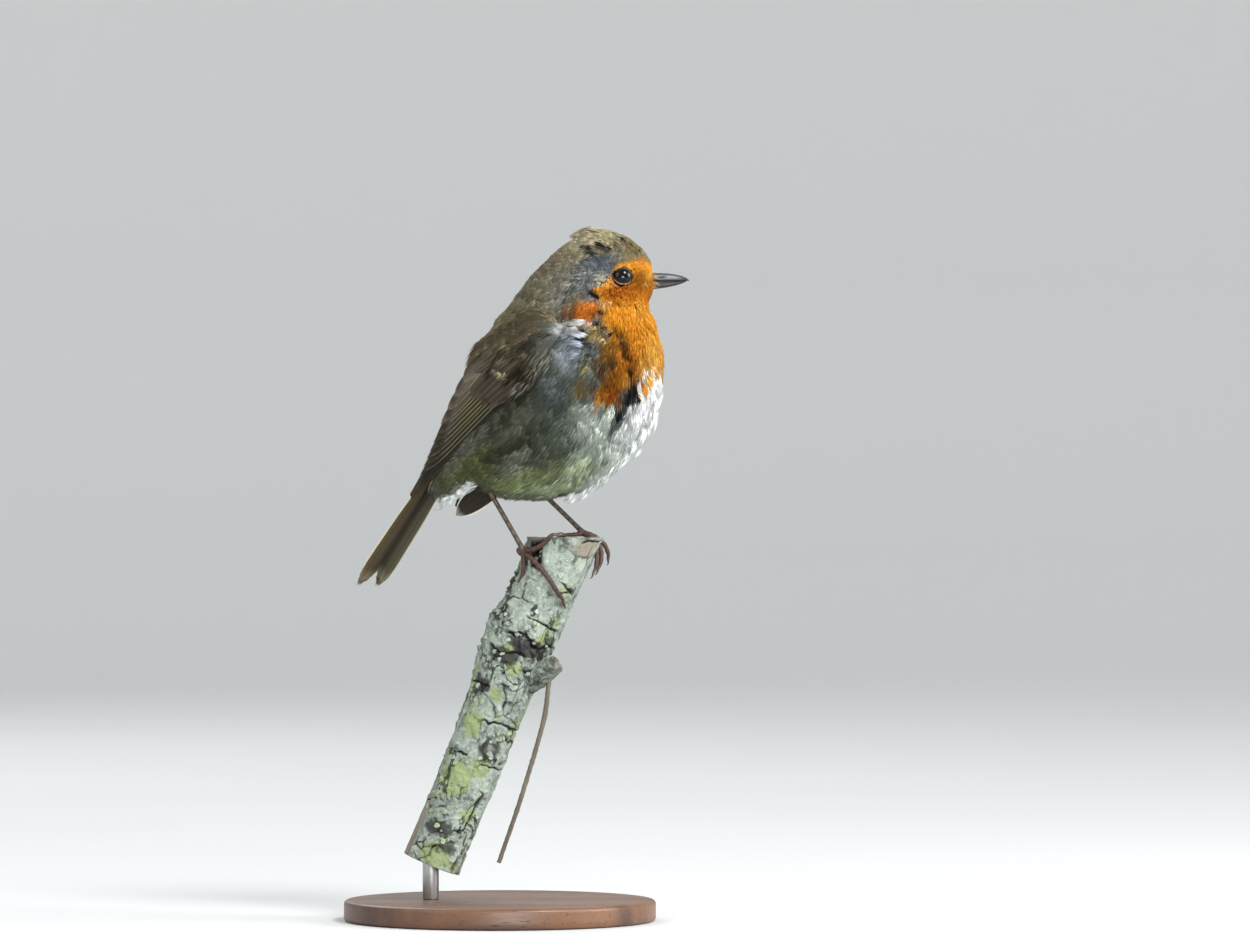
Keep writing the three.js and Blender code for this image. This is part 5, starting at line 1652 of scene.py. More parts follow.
def make_undertail(shapes, finish):
    """White feathers in a wedge under the tail, on both sides."""
    rng = np.random.default_rng(19)
    count = 26
    start, end = np.array([-4.6, -6.6, 131.4]), np.array([-19.4, 6.4, 121.0])
    across = np.array([0.60, 0.0, -0.80])
    t, c = np.meshgrid(np.linspace(-0.1, 1.2, 24), np.linspace(-4, 4, 12), indexing="ij")
    for side, flip in (("right", 1), ("left", -1)):
        def there(t, c):
            t, c = np.asarray(t)[..., None], np.asarray(c)[..., None]
            spot = start + (end - start) * t + across * c + np.array([0, 1.0, 0]) * (0.10 * c**2)
            return pose(unpose(spot) * [1, flip, 1])

        sheet = form_sheet(f"undertail_form_{side}", there(t, c))
        shift = 0.0 if flip > 0 else -2.4
        share = np.linspace(0.04, 0.76, count)
        level = rng.uniform(-0.9, 1.3, count) * (1 - 0.45 * share)
        root, tip = there(share, level + shift), there(share + 0.3, level * 0.75 + shift)
        out = np.tile(unit(np.cross(tip[0] - root[0], there(0.5, 1.0) - there(0.5, -1.0))), (count, 1))
        out = out * np.sign(out[:, 1:2]) * -flip
        facing = np.sign(np.array(sheet.data.polygons[0].normal) @ out[0])
        rise = rng.uniform(0.1, 0.7, count) * facing
        long = np.linalg.norm(tip - root, axis=1) * rng.uniform(0.8, 1.1, count)
        wide = rng.uniform(1.1, 1.6, count)
        tint = linear((226, 230, 227)) * rng.uniform(0.75, 1.1, (count, 1))
        roots = roots_of(root, unit(tip - root), out, long, wide, rise * 0.6, rise, tint,
                         rng.integers(0, FANS, count), root[:, [0, 2]])
        lay_coat(f"undertail_{side}", roots, shapes, sheet, finish)
        bpy.data.objects.remove(sheet)


def make_marks(form, shapes, finish):
    """The coat's finer marks, the loose points along the breast and belly, and the ruffled crest."""
    marks = place_marks(NEAR_MARKS, 15)
    far = to_far_side(place_marks([mark for mark in NEAR_MARKS[:40] if mark[0][0] < 36], 16))
    lay_coat("coat_marks", gather([marks, far]), shapes, form, finish)
    make_loose_points(shapes, finish)
    make_undertail(shapes, finish)
    rng = np.random.default_rng(9)
    count = 150
    crest = rng.uniform(11.3, 12.5, count)
    roots = body_roots(crest, rng.normal(0, 0.30, count) % (2 * np.pi), 12)
    roots["length"] = 6.6 + 9.0 * (crest - 12) * 0.6 + rng.uniform(-0.6, 0.8, count)
    roots["high"] = rng.uniform(1.6, 2.9, count)
    roots["width"] = rng.uniform(0.9, 1.5, count)
    roots["shape"] = narrow_tuft(rng, count)
    pale = rng.uniform(0, 1, (count, 1)) ** 0.7
    roots["tint"] = np.clip(linear((112, 100, 72)) * (1 - pale) + linear((184, 174, 146)) * pale, 0, 1)
    lay_coat("coat_crest", roots, shapes, form, finish)


def make_thigh_coat(side, shapes, finish):
    """Short tufts down the thigh to the ankle."""
    leg = LEGS[side]
    hip, ankle = np.array(leg["hip"]), np.array(leg["ankle"])
    run = ankle - hip
    down = unit(run)
    across = unit(np.cross(down, [0, 1.0, 0]))
    third = np.cross(across, down)
    rng = np.random.default_rng(40)
    count = 620
    share = rng.uniform(0.05, 1.0, count)
    angle = rng.uniform(0, 2 * np.pi, count)
    radius = thigh_radius(share, THIGH_COAT)
    normal = np.cos(angle)[:, None] * across + np.sin(angle)[:, None] * third
    place = hip + share[:, None] * run + normal * radius[:, None]
    points, faces = thigh_tube(side, THIGH_COAT)
    held = hold("thigh_form", mesh_from("thigh_form", points, faces))
    tint = plumage(place) * (1 + rng.uniform(-0.15, 0.15, (count, 1)))
    tint = tint * 0.4 + linear((92, 88, 66)) * 0.6
    long = 3.6 - 1.9 * share + rng.uniform(-0.3, 0.3, count)
    high = 0.75 * rng.uniform(0.7, 1.3, count)
    roots = roots_of(place, np.tile(down, (count, 1)), normal, long, 1.4 - 0.6 * share, ROOT_LOW, high, tint,
                     rng.integers(0, FANS, count), np.stack([angle, share], -1))
    lay_coat(f"coat_thigh_{side}", roots, shapes, held, finish)
    bpy.data.objects.remove(held)


def line_wing(side, form):
    """A thin lining that closes the wing behind its vanes."""
    rows, columns = 60, 24
    a, b = np.meshgrid(np.linspace(0.0, 0.965, rows), np.linspace(0.03, 0.97, columns), indexing="ij")
    layers = [form.point(a, b, WING_SINK + behind).reshape(-1, 3) for behind in (-0.1, 0.45)]
    mesh = mesh_from(f"wing_lining_{side}", np.vstack(layers), two_layers(rows, columns))
    write_values(mesh, "tint", "FLOAT_COLOR", np.tile(linear((70, 60, 46)), (2 * rows * columns, 1)))
    make_piece(f"wing_lining_{side}", mesh, LINING)


def shoulder_roots(form):
    """Soft feathers over the bend and the upper wing, and pale loose ones along its lower edge."""
    rng = np.random.default_rng(70)
    count, loose = 3400, 200
    along, across = rng.uniform(-0.05, 0.38, count), rng.uniform(-0.06, 1.0, count)
    limit = 0.36 - 0.20 * smooth(0.0, 0.42, across) - 0.12 * smooth(0.5, 1.0, across)
    ahead = form.point(along + 0.12, across, WING_SINK) - form.point(along, across, WING_SINK)
    ends = unpose(form.point(along, across, WING_SINK) + unit(ahead) * 5.5)
    keep = along < limit + 0.018 * rng.normal(0, 1, count)
    keep &= polygon_reach(ends[:, 0], ends[:, 2], form.outline()) > -0.5
    along = np.concatenate([along[keep], rng.uniform(0.04, 0.26, loose)])
    across = np.concatenate([across[keep], 0.90 + 0.16 * rng.uniform(0, 1, loose)])
    count = len(along)
    low_edge = np.arange(count) >= count - loose
    h = 0.01
    place = form.point(along, across, WING_SINK)
    du = form.point(along + h, across, WING_SINK) - form.point(along - h, across, WING_SINK)
    dv = form.point(along, across + h, WING_SINK) - form.point(along, across - h, WING_SINK)
    normal = unit(np.cross(du, dv))
    normal *= np.sign((normal * np.array([0, form.side, 0])).sum(-1, keepdims=True))
    lie = unit(du)
    turn = rng.normal(0, 0.08, count) + 0.12 * noise(place, 5.0, 71)
    side = np.cross(normal, lie)
    lift = side * form.side * np.where(low_edge, 0.10, 0)[:, None]
    lie = unit(lie * np.cos(turn)[:, None] + side * np.sin(turn)[:, None] + lift)
    length = (5.6 + 3.0 * np.clip(along, 0, 0.4) / 0.4) * rng.uniform(0.8, 1.2, count)
    length = np.where(low_edge, rng.uniform(6.0, 9.0, count), length)
    width = np.where(low_edge, rng.uniform(0.35, 0.8, count), length * rng.uniform(0.20, 0.34, count))
    streaks, wide_streaks = (noise(np.stack([across * 15 / apart, along * 60 / long, 0 * along], -1), 1.0, seed)
                             for apart, long, seed in ((0.9, 7.0, 73), (2.6, 12.0, 74)))
    light = 1 + 0.80 * streaks + 0.60 * wide_streaks + rng.uniform(-0.2, 0.25, count)
    brown = linear((100, 91, 72)) * np.clip(light, 0.25, 2.4)[:, None]
    grey = linear((118, 118, 108)) * (1 + 0.5 * streaks)[:, None]
    brown = brown + (grey - brown) * (smooth(0.35, 0.9, across) * (1 - smooth(0.02, 0.16, along)))[:, None]
    tint = plumage(place + lie * 3.0)
    tint = tint + (brown - tint) * smooth(-0.04, 0.06, along - 0.03 * across)[:, None]
    pale = linear((168, 162, 146)) * rng.uniform(0.35, 1.2, (count, 1))
    pale = np.where(rng.uniform(0, 1, (count, 1)) < 0.5, linear((66, 60, 52)), pale)
    tint = np.where(low_edge[:, None], pale, tint)
    calm = 0.55 + 0.45 * smooth(-0.02, 0.22, across)
    high = (2.25 + rng.uniform(-0.25, 0.35, count) + 0.35 * wide_streaks) * calm
    shape = any_tuft(rng, low_edge | (rng.uniform(0, 1, count) < 0.5))
    return roots_of(place, lie, normal, length, width, np.where(low_edge, 1.2, 1.2 * calm), high, tint, shape,
                    np.stack([along, across], -1), aim=np.zeros((count, 3)))


def make_wing(side, vanes, tufts, vane_finish, tuft_finish):
    """A folded wing: its vanes in layers, a lining behind them, and soft feathers over the shoulder."""
    form = WING_FORMS[side]
    sheet = form.form_mesh(f"wing_form_{side}", WING_SINK)
    hand, reach = {"right": (1.0, 1.0), "left": (-1.0, 0.78)}[side]
    roots = wing_vanes(form, hand, reach)
    if side == "left":
        # The tip that shows below the belly: one broad feather with a pale margin all round.
        tip = row_of(form, WING_SINK, form.find([(1.6, 130.4)]), form.find([(-13.2, 119.0)]), 8.0, -1.2, -1.2,
                     (46, 40, 29), (222, 220, 208), 2.0, 0.3, -1.0, 6, 29, 1)
        roots = gather([roots, tip])
    lay_coat(f"wing_vanes_{side}", roots, vanes, sheet, vane_finish, (f"wing_{side}",))
    line_wing(side, form)
    roots, strokes = shoulder_roots(form), wing_strokes(form, hand)
    roots = gather([roots, {key: strokes[key] for key in roots}])
    lay_coat(f"coat_shoulder_{side}", roots, tufts, sheet, tuft_finish)
    bpy.data.objects.remove(sheet)


def tail_frame():
    """The tail's directions: along it, across it and up from it."""
    along = unit(TAIL_TIP - TAIL_ROOT)
    c, s = math.cos(TAIL_ROLL), math.sin(TAIL_ROLL)
    start = np.array([0.0, 1.0, 0.0])
    across = start * c + np.cross(along, start) * s + along * (along @ start) * (1 - c)
    return along, across, np.cross(across, along)


def make_tail(vanes, finish):
    """Twelve tail feathers, closed up over each other, the outermost lowest."""
    along, across, up = tail_frame()
    length = np.linalg.norm(TAIL_TIP - TAIL_ROOT)
    u, v = np.meshgrid(np.linspace(-6, length + 4, 50), np.linspace(-9, 9, 30), indexing="ij")
    points = pose(TAIL_ROOT + u[..., None] * along + v[..., None] * across)
    sheet = form_sheet("tail_form", points)
    posed_up = unit(pose(TAIL_ROOT + up) - pose(TAIL_ROOT))
    roots = []
    rng = np.random.default_rng(80)
    for k in range(6):
        for hand in (-1, 1):
            upper = hand < 0
            start = np.array([1.0 + 0.2 * k, hand * (0.5 + 0.42 * k)])
            end = np.array([length * ((0.945 + 0.032 * min(k, 3)) if upper else (0.925 + 0.028 * min(k, 3))),
                            hand * ((0.9 + 0.78 * k) if upper else (1.0 + 0.48 * k))])
            root = pose(TAIL_ROOT + start[0] * along + start[1] * across)
            tip = pose(TAIL_ROOT + end[0] * along + end[1] * across)
            level = 0.82 - 0.33 * k
            roots.append((root, unit(tip - root), np.linalg.norm(tip - root), 5.2 - 0.08 * k, level * 1.2,
                          level * 0.5, hand, k))
    place, lie, long, wide, low, high, hand, order = (np.array(c) for c in zip(*roots))
    # The sheet's faces may point to either side of the tail: heights follow its own normal.
    facing = np.sign(sheet.data.polygons[0].normal @ Vector(posed_up))
    tint = np.where((hand < 0)[:, None], linear((62, 53, 36)), linear((66, 62, 46)))
    # Painted shade: the innermost feathers are darkest, a painted shadow down the middle where the two halves meet;
    # the lower half is darker throughout.
    tint = tint * np.where(hand < 0, 0.42 + 0.12 * order, 0.20 + 0.16 * order)[:, None]
    count = len(place)
    tint = tint * (1 + rng.uniform(-0.08, 0.08, (count, 1)))
    roots = roots_of(place, lie, np.tile(posed_up * facing, (count, 1)), long, wide, low * facing, high * facing,
                     tint, rng.integers(0, 3, count), np.stack([order * 1.0, hand * 1.0], -1), tip=0.18,
                     fringe=np.tile(linear((186, 180, 142)), (count, 1)), edge=np.where(order == 5, 0.9, 0.12),
                     hand=hand * facing * -1.0)
    lay_coat("tail_vanes", roots, vanes, sheet, finish, ("tail",))
    bpy.data.objects.remove(sheet)


# ---- Eyes and bill ----


def make_eye(side):
    """A wet ball in the CAD eye's place."""
    low, high = (np.array(corner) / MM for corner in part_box("eye_" + side))
    centre, radius = (low + high) / 2, (high - low)[0] / 2
    way = WINGS[side]["side"]
    rows, columns = 40, 56
    theta, phi = np.meshgrid(np.linspace(0.02, np.pi - 0.02, rows), circle(columns), indexing="ij")
    out = unit(np.array([0.10, way * 1.0, 0.06]))
    ahead = unit(np.array([1.0, 0, 0]) - out * out[0])
    up = np.cross(ahead, out)
    up = up * np.sign(up[2])
    around = np.cos(phi)[..., None] * ahead + np.sin(phi)[..., None] * up
    ball = centre + radius * (np.cos(theta)[..., None] * out + np.sin(theta)[..., None] * around)
    points, faces = close_ends(ball.reshape(-1, 3), rows, columns)
    mesh = mesh_from(f"eyeball_{side}", points, faces)
    turned = np.arccos(np.clip(unit(points - centre) @ out, -1, 1))
    write_values(mesh, "ring", "FLOAT", turned / 0.95)
    make_piece(f"eyeball_{side}", mesh, EYE_FINISH, (f"eye_{side}",))
    make_eyelid(side, centre, radius, out, ahead, up)


def make_eyelid(side, centre, radius, out, ahead, up):
    """An almond of lid skin: from under its edge on the ball, over a rounded rim, out to the face."""
    form_points, form_faces = FACE_FORM
    tree = BVHTree.FromPolygons(form_points.tolist(), form_faces)
    sides = 72
    # How far each ring of the lid lies outside the opening, how far it is raised, and how downy it is.
    profile = [(-0.40, -0.25, 0), (-0.18, 0.02, 0), (-0.09, 0.07, 0), (0.0, 0.09, 0), (0.09, 0.09, 0),
               (0.20, 0.03, 0.3), (0.32, -0.15, 1), (0.7, -0.5, 1), (1.4, -1.0, 1)]
    points, rim = [], []
    c_tilt, s_tilt = math.cos(EYE_TILT), math.sin(EYE_TILT)
    for step, (grow, lift, _) in enumerate(profile):
        share = float(smooth(0.1, 1.3, grow))
        for turn in circle(sides):
            c, s = math.cos(turn), math.sin(turn)
            x = (EYE_SPAN[0] - 0.16 + grow + 0.30 * abs(c) ** 3) * c
            z = (EYE_SPAN[1] + 0.02 + grow) * np.sign(s) * abs(s) ** 1.10
            x, z = x * c_tilt - z * s_tilt, x * s_tilt + z * c_tilt
            flat = centre + x * ahead + z * up + (EYE_SHIFT[0] * ahead + EYE_SHIFT[1] * up)
            rest = flat - centre
            on_ball = math.sqrt(max(radius**2 - (rest @ ahead) ** 2 - (rest @ up) ** 2, 0.2))
            hit = tree.ray_cast(Vector(flat + out * 20), Vector(-out))
            face = (np.array(hit[0]) - centre) @ out if hit[0] is not None else on_ball - 1
            points.append(flat + out * ((on_ball + lift) * (1 - share) + (face + lift) * share))
            rim.append({4: 1.0, 5: 0.8}.get(step, 0.0) * float(smooth(0.0, -0.5, 0.8 * s + 0.45 * c)))
    points, faces = np.array(points), grid_faces(len(profile), sides, wrap=True)
    a, b, c = (points[faces[sides * 3][k]] for k in range(3))
    if np.cross(b - a, c - b) @ out < 0:
        faces = [face[::-1] for face in faces]
    mesh = mesh_from(f"eyelid_{side}", points, faces, outward=False)
    write_values(mesh, "rim", "FLOAT", rim)
    write_values(mesh, "down", "FLOAT", np.repeat([down for _, _, down in profile], sides))
    make_piece(f"eyelid_{side}", mesh, LID_FINISH)


def make_bill():
    """Both halves of the bill, with a ridge, cutting edges and a slit nostril on each side."""
    finish = bill_paint()
    rows, columns = 64, 40
    for name, line, tip, gap, node in (("bill_above", BILL_ABOVE, BILL["tip"], 0.06, "bill_upper"),
                                       ("bill_below", BILL_BELOW, BILL["lower_tip"], -0.06, "bill_lower")):
        share = np.linspace(0, 1, rows)[:, None]
        angle = circle(columns)[None, :]
        curve = spline([(px, 0, pz) for px, pz in line])(np.linspace(0, 1, 200))
        x = BILL["base"] + (tip - BILL["base"]) * share
        outer = np.interp(x, curve[:, 0], curve[:, 2])
        inner = GAPE_Z + gap + (BILL["tip_z"] - GAPE_Z - gap) * share
        half = np.maximum(BILL["half"] * (1 - share**1.5) * (1 - 0.18 * np.sin(np.pi * share)), 0.26)
        middle, tall = (outer + inner) / 2, (outer - inner) / 2
        tall = np.sign(tall) * np.maximum(np.abs(tall), 0.10)
        c, s = np.cos(angle), np.sin(angle)
        # s = 1 is the ridge or the keel, and s = -1 the cutting edge's side.
        wide = half * np.sign(c) * np.abs(c) ** 0.8 * (1 - 0.38 * np.maximum(s, 0) ** 1.5)
        point = np.stack([x + 0 * angle, wide, middle + tall * np.sign(s) * np.abs(s) ** 0.85], -1)
        slit = np.zeros((rows, columns))
        if node == "bill_upper":
            ahead = point[..., 0] - 47.5
            above = point[..., 2] - 189.25 - 0.12 * ahead
            slit = np.exp(-((ahead / 1.35) ** 2) ** 1.6 - ((above / 0.36) ** 2) ** 1.3)
            slit = slit * (np.abs(point[..., 1]) > 0.5)
            point[..., 1] -= np.sign(point[..., 1]) * 0.38 * slit
        points, faces = close_ends(pose(point).reshape(-1, 3), rows, columns)
        mesh = mesh_from(name, points, faces)
        # Painted highlight: a pale sheen along the middle of each side and along the ridge, faint on the lower
        # half.
        pale = np.exp(-(((s - 0.05) / 0.42) ** 2)) + 0.9 * smooth(0.80, 0.96, s)
        pale = pale * smooth(0.0, 0.2, share) * (1 - smooth(0.62, 0.9, share))
        pale = pale * (1.0 if node == "bill_upper" else 0.12)
        write_values(mesh, "pale", "FLOAT", np.concatenate([pale.ravel(), [0, 0]]))
        write_values(mesh, "slit", "FLOAT", np.concatenate([slit.ravel(), [0, 0]]))
        make_piece(name, mesh, finish, (node,))


def make_bristles():
    """Pale hair-like bristles at the corners of the mouth and over the nostrils."""
    rng = np.random.default_rng(90)
    shells = []
    for side in (-1, 1):
        for k in range(26):
            high = k % 3 == 0
            x = 44.6 + rng.uniform(-0.8, 0.7)
            z = (189.9 if high else 187.3) + rng.uniform(-0.9, 0.9)
            root = np.array([x, side * (2.3 if not high else 1.7) + side * rng.uniform(-0.2, 0.3), z])
            way = np.array([1.0, side * rng.uniform(0.15, 0.6), rng.uniform(-0.55, 0.15)])
            long = rng.uniform(1.4, 2.6)
            route = [root, root + way * long * 0.5 + [0, 0, 0.05], root + way * long - [0, 0, 0.25]]
            shells.append(tube(pose(np.array(route)), lambda share, angle: 0.055 * (1 - share) + 0.012, 6, 5))
    points, faces = join_shells(shells)
    mesh = mesh_from("bristles", points, faces)
    paint = Paint("bristle", Roughness=0.7)
    tip = paint.speckle(900.0, 2.0)
    make_piece("bristles", mesh, paint.surface(paint.blend(tip, tone(120, 84, 40), tone(232, 196, 120))))


# ---- Legs and feet ----

branch_axis = unit(BRANCH_TOP - BRANCH_FOOT)
branch_right = np.array([branch_axis[2], 0, -branch_axis[0]])
branch_length = float(np.linalg.norm(BRANCH_TOP - BRANCH_FOOT))
radius_line = spline([(i, r, 0) for i, r in enumerate(BRANCH_RADII)])


def branch_radius(share):
    return radius_line(np.clip(share, 0, 1))[..., 1]


def by_branch(place):
    """A place by the branch: how far below its top, the angle from -Y towards +X, and how far off its bark."""
    below, angle, off = place
    reach = float(branch_radius(1 - below / branch_length)) + off
    turn = math.radians(angle)
    middle = BRANCH_TOP - branch_axis * below
    return middle + branch_right * reach * math.sin(turn) - np.array([0, 1, 0]) * reach * math.cos(turn)


def plated(plates, depth, base):
    """A tube radius with raised plates across it."""
    def radius(share, angle):
        step = share * plates % 1.0
        ridge = depth * (step**0.7 * (1 - smooth(0.82, 1.0, step)))
        front = 0.55 + 0.45 * np.cos(angle)
        return base(share) * (1 + ridge * front)

    return radius


def add_skin_values(mesh, rings, sides, plates, painted_sheen_front=0.0):
    """Stores how near each point of a plated tube is to a joint, and how pale it is in front, a painted sheen on
    the plates.
    """
    share = np.repeat(np.linspace(0, 1, rings), sides)
    angle = np.tile(circle(sides), rings)
    step = share * plates % 1.0
    joint = np.exp(-((np.minimum(step, 1 - step) / 0.085) ** 2))
    # Painted sheen: pale on the raised part of each plate, down the side at angle 0.
    pale = painted_sheen_front * np.maximum(np.cos(angle), 0) ** 2 * smooth(0.1, 0.5, step)
    write_values(mesh, "joint", "FLOAT", np.concatenate([joint, [0, 0]]))
    write_values(mesh, "pale", "FLOAT", np.concatenate([pale, [0, 0]]))


def make_leg(side):
    """The shank with its plates, and each toe with its pads and claw."""
    leg = LEGS[side]
    ankle, foot = np.array(leg["ankle"]), np.array(leg["foot"])
    top = ankle - unit(foot - ankle) * 2.6
    rings, sides = 120, 20
    sway = np.array([0.0, -0.12, 0.0])
    route = [top, (top * 2 + foot) / 3 + sway, (top + foot * 2) / 3 - sway * 0.5, foot - [0, 0, 0.1]]

    def shank(share):
        return 0.74 * (1 + 0.40 * np.abs(2 * share - 1) ** 6)

    points, faces = tube(route, plated(9, 0.10, shank), rings, sides, flatten=0.92)
    mesh = mesh_from(f"shank_{side}", points, faces)
    add_skin_values(mesh, rings, sides, 9, 0.8)
    make_piece(f"shank_{side}", mesh, SHANK_FINISH, (f"tarsus_{side}",))
    for name, (places, tip) in (RIGHT_TOES if side == "right" else LEFT_TOES).items():
        places = [np.array(p, float) if side == "left" else by_branch(p) for p in places]
        tip = np.array(tip, float) if side == "left" else by_branch(tip)
        last = places[-1]
        start = foot + (places[0] - foot) * 0.05
        rings, sides = 72, 16
        joints = len(places)

        def toe(share):
            pads = 1 + 0.14 * np.cos(2 * np.pi * joints * share) ** 2 - 0.04
            return (0.84 - 0.28 * share) * pads * (1 - 0.5 * smooth(0.9, 1.0, share))

        points, faces = tube([start, *places, last + (tip - last) * 0.16], plated(13, 0.12, toe), rings, sides)
        mesh = mesh_from(f"toe_skin_{side}_{name}", points, faces)
        add_skin_values(mesh, rings, sides, 13, 0.35)
        make_piece(f"toe_skin_{side}_{name}", mesh, TOE_FINISH, (f"toe_{side}_{name}",))
        bow = last + (tip - last) * 0.6 + (last - places[-2]) * 0.14
        route = [last + (tip - last) * 0.02, last + (tip - last) * 0.25 + (bow - last) * 0.1, bow, tip]
        points, faces = tube(route, lambda share, angle: 0.50 * (1 - share) ** 0.8 + 0.06, 30, 12)
        mesh = mesh_from(f"claw_horn_{side}_{name}", points, faces)
        make_piece(f"claw_horn_{side}_{name}", mesh, CLAW_FINISH, (f"claw_{side}_{name}",))


# ---- Branch, stub and stem ----

BARK_GIRTH, BARK_RADIUS = 58.0, 8.8  # rounded sizes of the branch that set the scale of its bark


def cell_edges(u, v, count, seed, stretch):
    """How near each place of a sheet is to the border between scattered cells, in the sheet's own units."""
    rng = np.random.default_rng(seed)
    middles = rng.uniform(0, 1, (count, 2)) * [branch_length, 1.0]
    best = np.full(u.shape, np.inf)
    second = np.full(u.shape, np.inf)
    for mu, mv in middles:
        around = np.abs(v - mv)
        around = np.minimum(around, 1 - around) * BARK_GIRTH * stretch
        reach = np.hypot(u - mu, around)
        closer = reach < best
        second = np.where(closer, best, np.minimum(second, reach))
        best = np.where(closer, reach, best)
    return second - best


def turned_from(degrees, toward):
    """How many degrees lie between two ways round the branch, from -180 to 180."""
    return (degrees - toward + 540) % 360 - 180


# Cracks across the branch: height, side in degrees (180 left, 270 near, 0 right), half width in degrees, thickness.
CRACKS = [(110.0, 330, 30, 0.5), (88.6, 300, 42, 0.45), (83.0, 290, 60, 0.7), (78.0, 250, 40, 0.6),
          (76.4, 320, 30, 0.7), (67.0, 205, 40, 0.5), (59.0, 310, 60, 0.5), (55.5, 330, 26, 0.4),
          (48.0, 215, 45, 0.5), (47.0, 320, 35, 0.35), (34.0, 200, 30, 0.4), (92.0, 60, 70, 0.5),
          (70.0, 100, 60, 0.5), (45.0, 80, 70, 0.5), (28.0, 120, 50, 0.4)]
# Soft stains, yellow-green crusts and worn wood: height, side in degrees, reach along and round the
# branch in mm, strength.
STAINS = [(81.5, 290, 3.2, 8.0, 1.0), (77.0, 245, 3.0, 5.0, 0.9), (88.0, 205, 5.0, 3.5, 0.9),
          (97.0, 193, 6.0, 2.5, 0.9), (67.0, 222, 4.2, 4.0, 0.8), (64.0, 300, 2.6, 3.5, 0.55),
          (51.5, 293, 4.0, 4.0, 0.75), (44.0, 335, 3.0, 3.0, 0.5), (27.0, 250, 3.4, 4.6, 0.9),
          (23.0, 285, 3.0, 3.6, 0.8), (91.2, 268, 1.8, 1.0, 1.0), (104.0, 236, 2.2, 1.8, 0.8),
          (85.0, 330, 1.8, 3.0, 0.8), (90.0, 90, 5.0, 7.0, 0.8), (60.0, 60, 5.0, 6.0, 0.7),
          (38.0, 110, 5.0, 6.0, 0.8)]
CRUSTS = [(84.9, 310, 3.0, 3.4, 1.0), (78.8, 252, 2.6, 3.0, 1.0), (74.6, 274, 2.6, 3.0, 0.9),
          (56.5, 240, 4.0, 4.0, 1.0), (41.0, 250, 7.0, 6.0, 1.0), (46.0, 290, 4.0, 4.0, 0.8),
          (20.0, 270, 4.0, 6.0, 0.9), (99.0, 310, 3.0, 3.0, 0.6), (66.0, 262, 2.6, 2.4, 0.8),
          (33.0, 305, 3.0, 3.0, 0.7), (80.0, 70, 6.0, 7.0, 0.9), (50.0, 110, 8.0, 6.0, 0.9),
          (28.0, 60, 5.0, 6.0, 0.8)]
WORN = [(108.4, 318, 2.6, 4.0, 1.0), (51.5, 293, 1.6, 1.6, 0.4)]


def patches(places, u, degrees, ring, seed):
    """How strongly soft-edged patches cover the branch's side."""
    ragged = 0.32 * noise(ring, 2.2, seed) + 0.22 * noise(ring, 0.9, seed + 100)
    best = np.zeros(u.shape)
    for height, toward, along, around, strength in places:
        level = (height - BRANCH_FOOT[2]) / branch_axis[2]
        off = np.radians(turned_from(degrees, toward)) * BARK_RADIUS
        reach = np.hypot((u - level) / along, off / around) + ragged
        best = np.maximum(best, strength * (1 - smooth(0.55, 1.25, reach)))
    return best


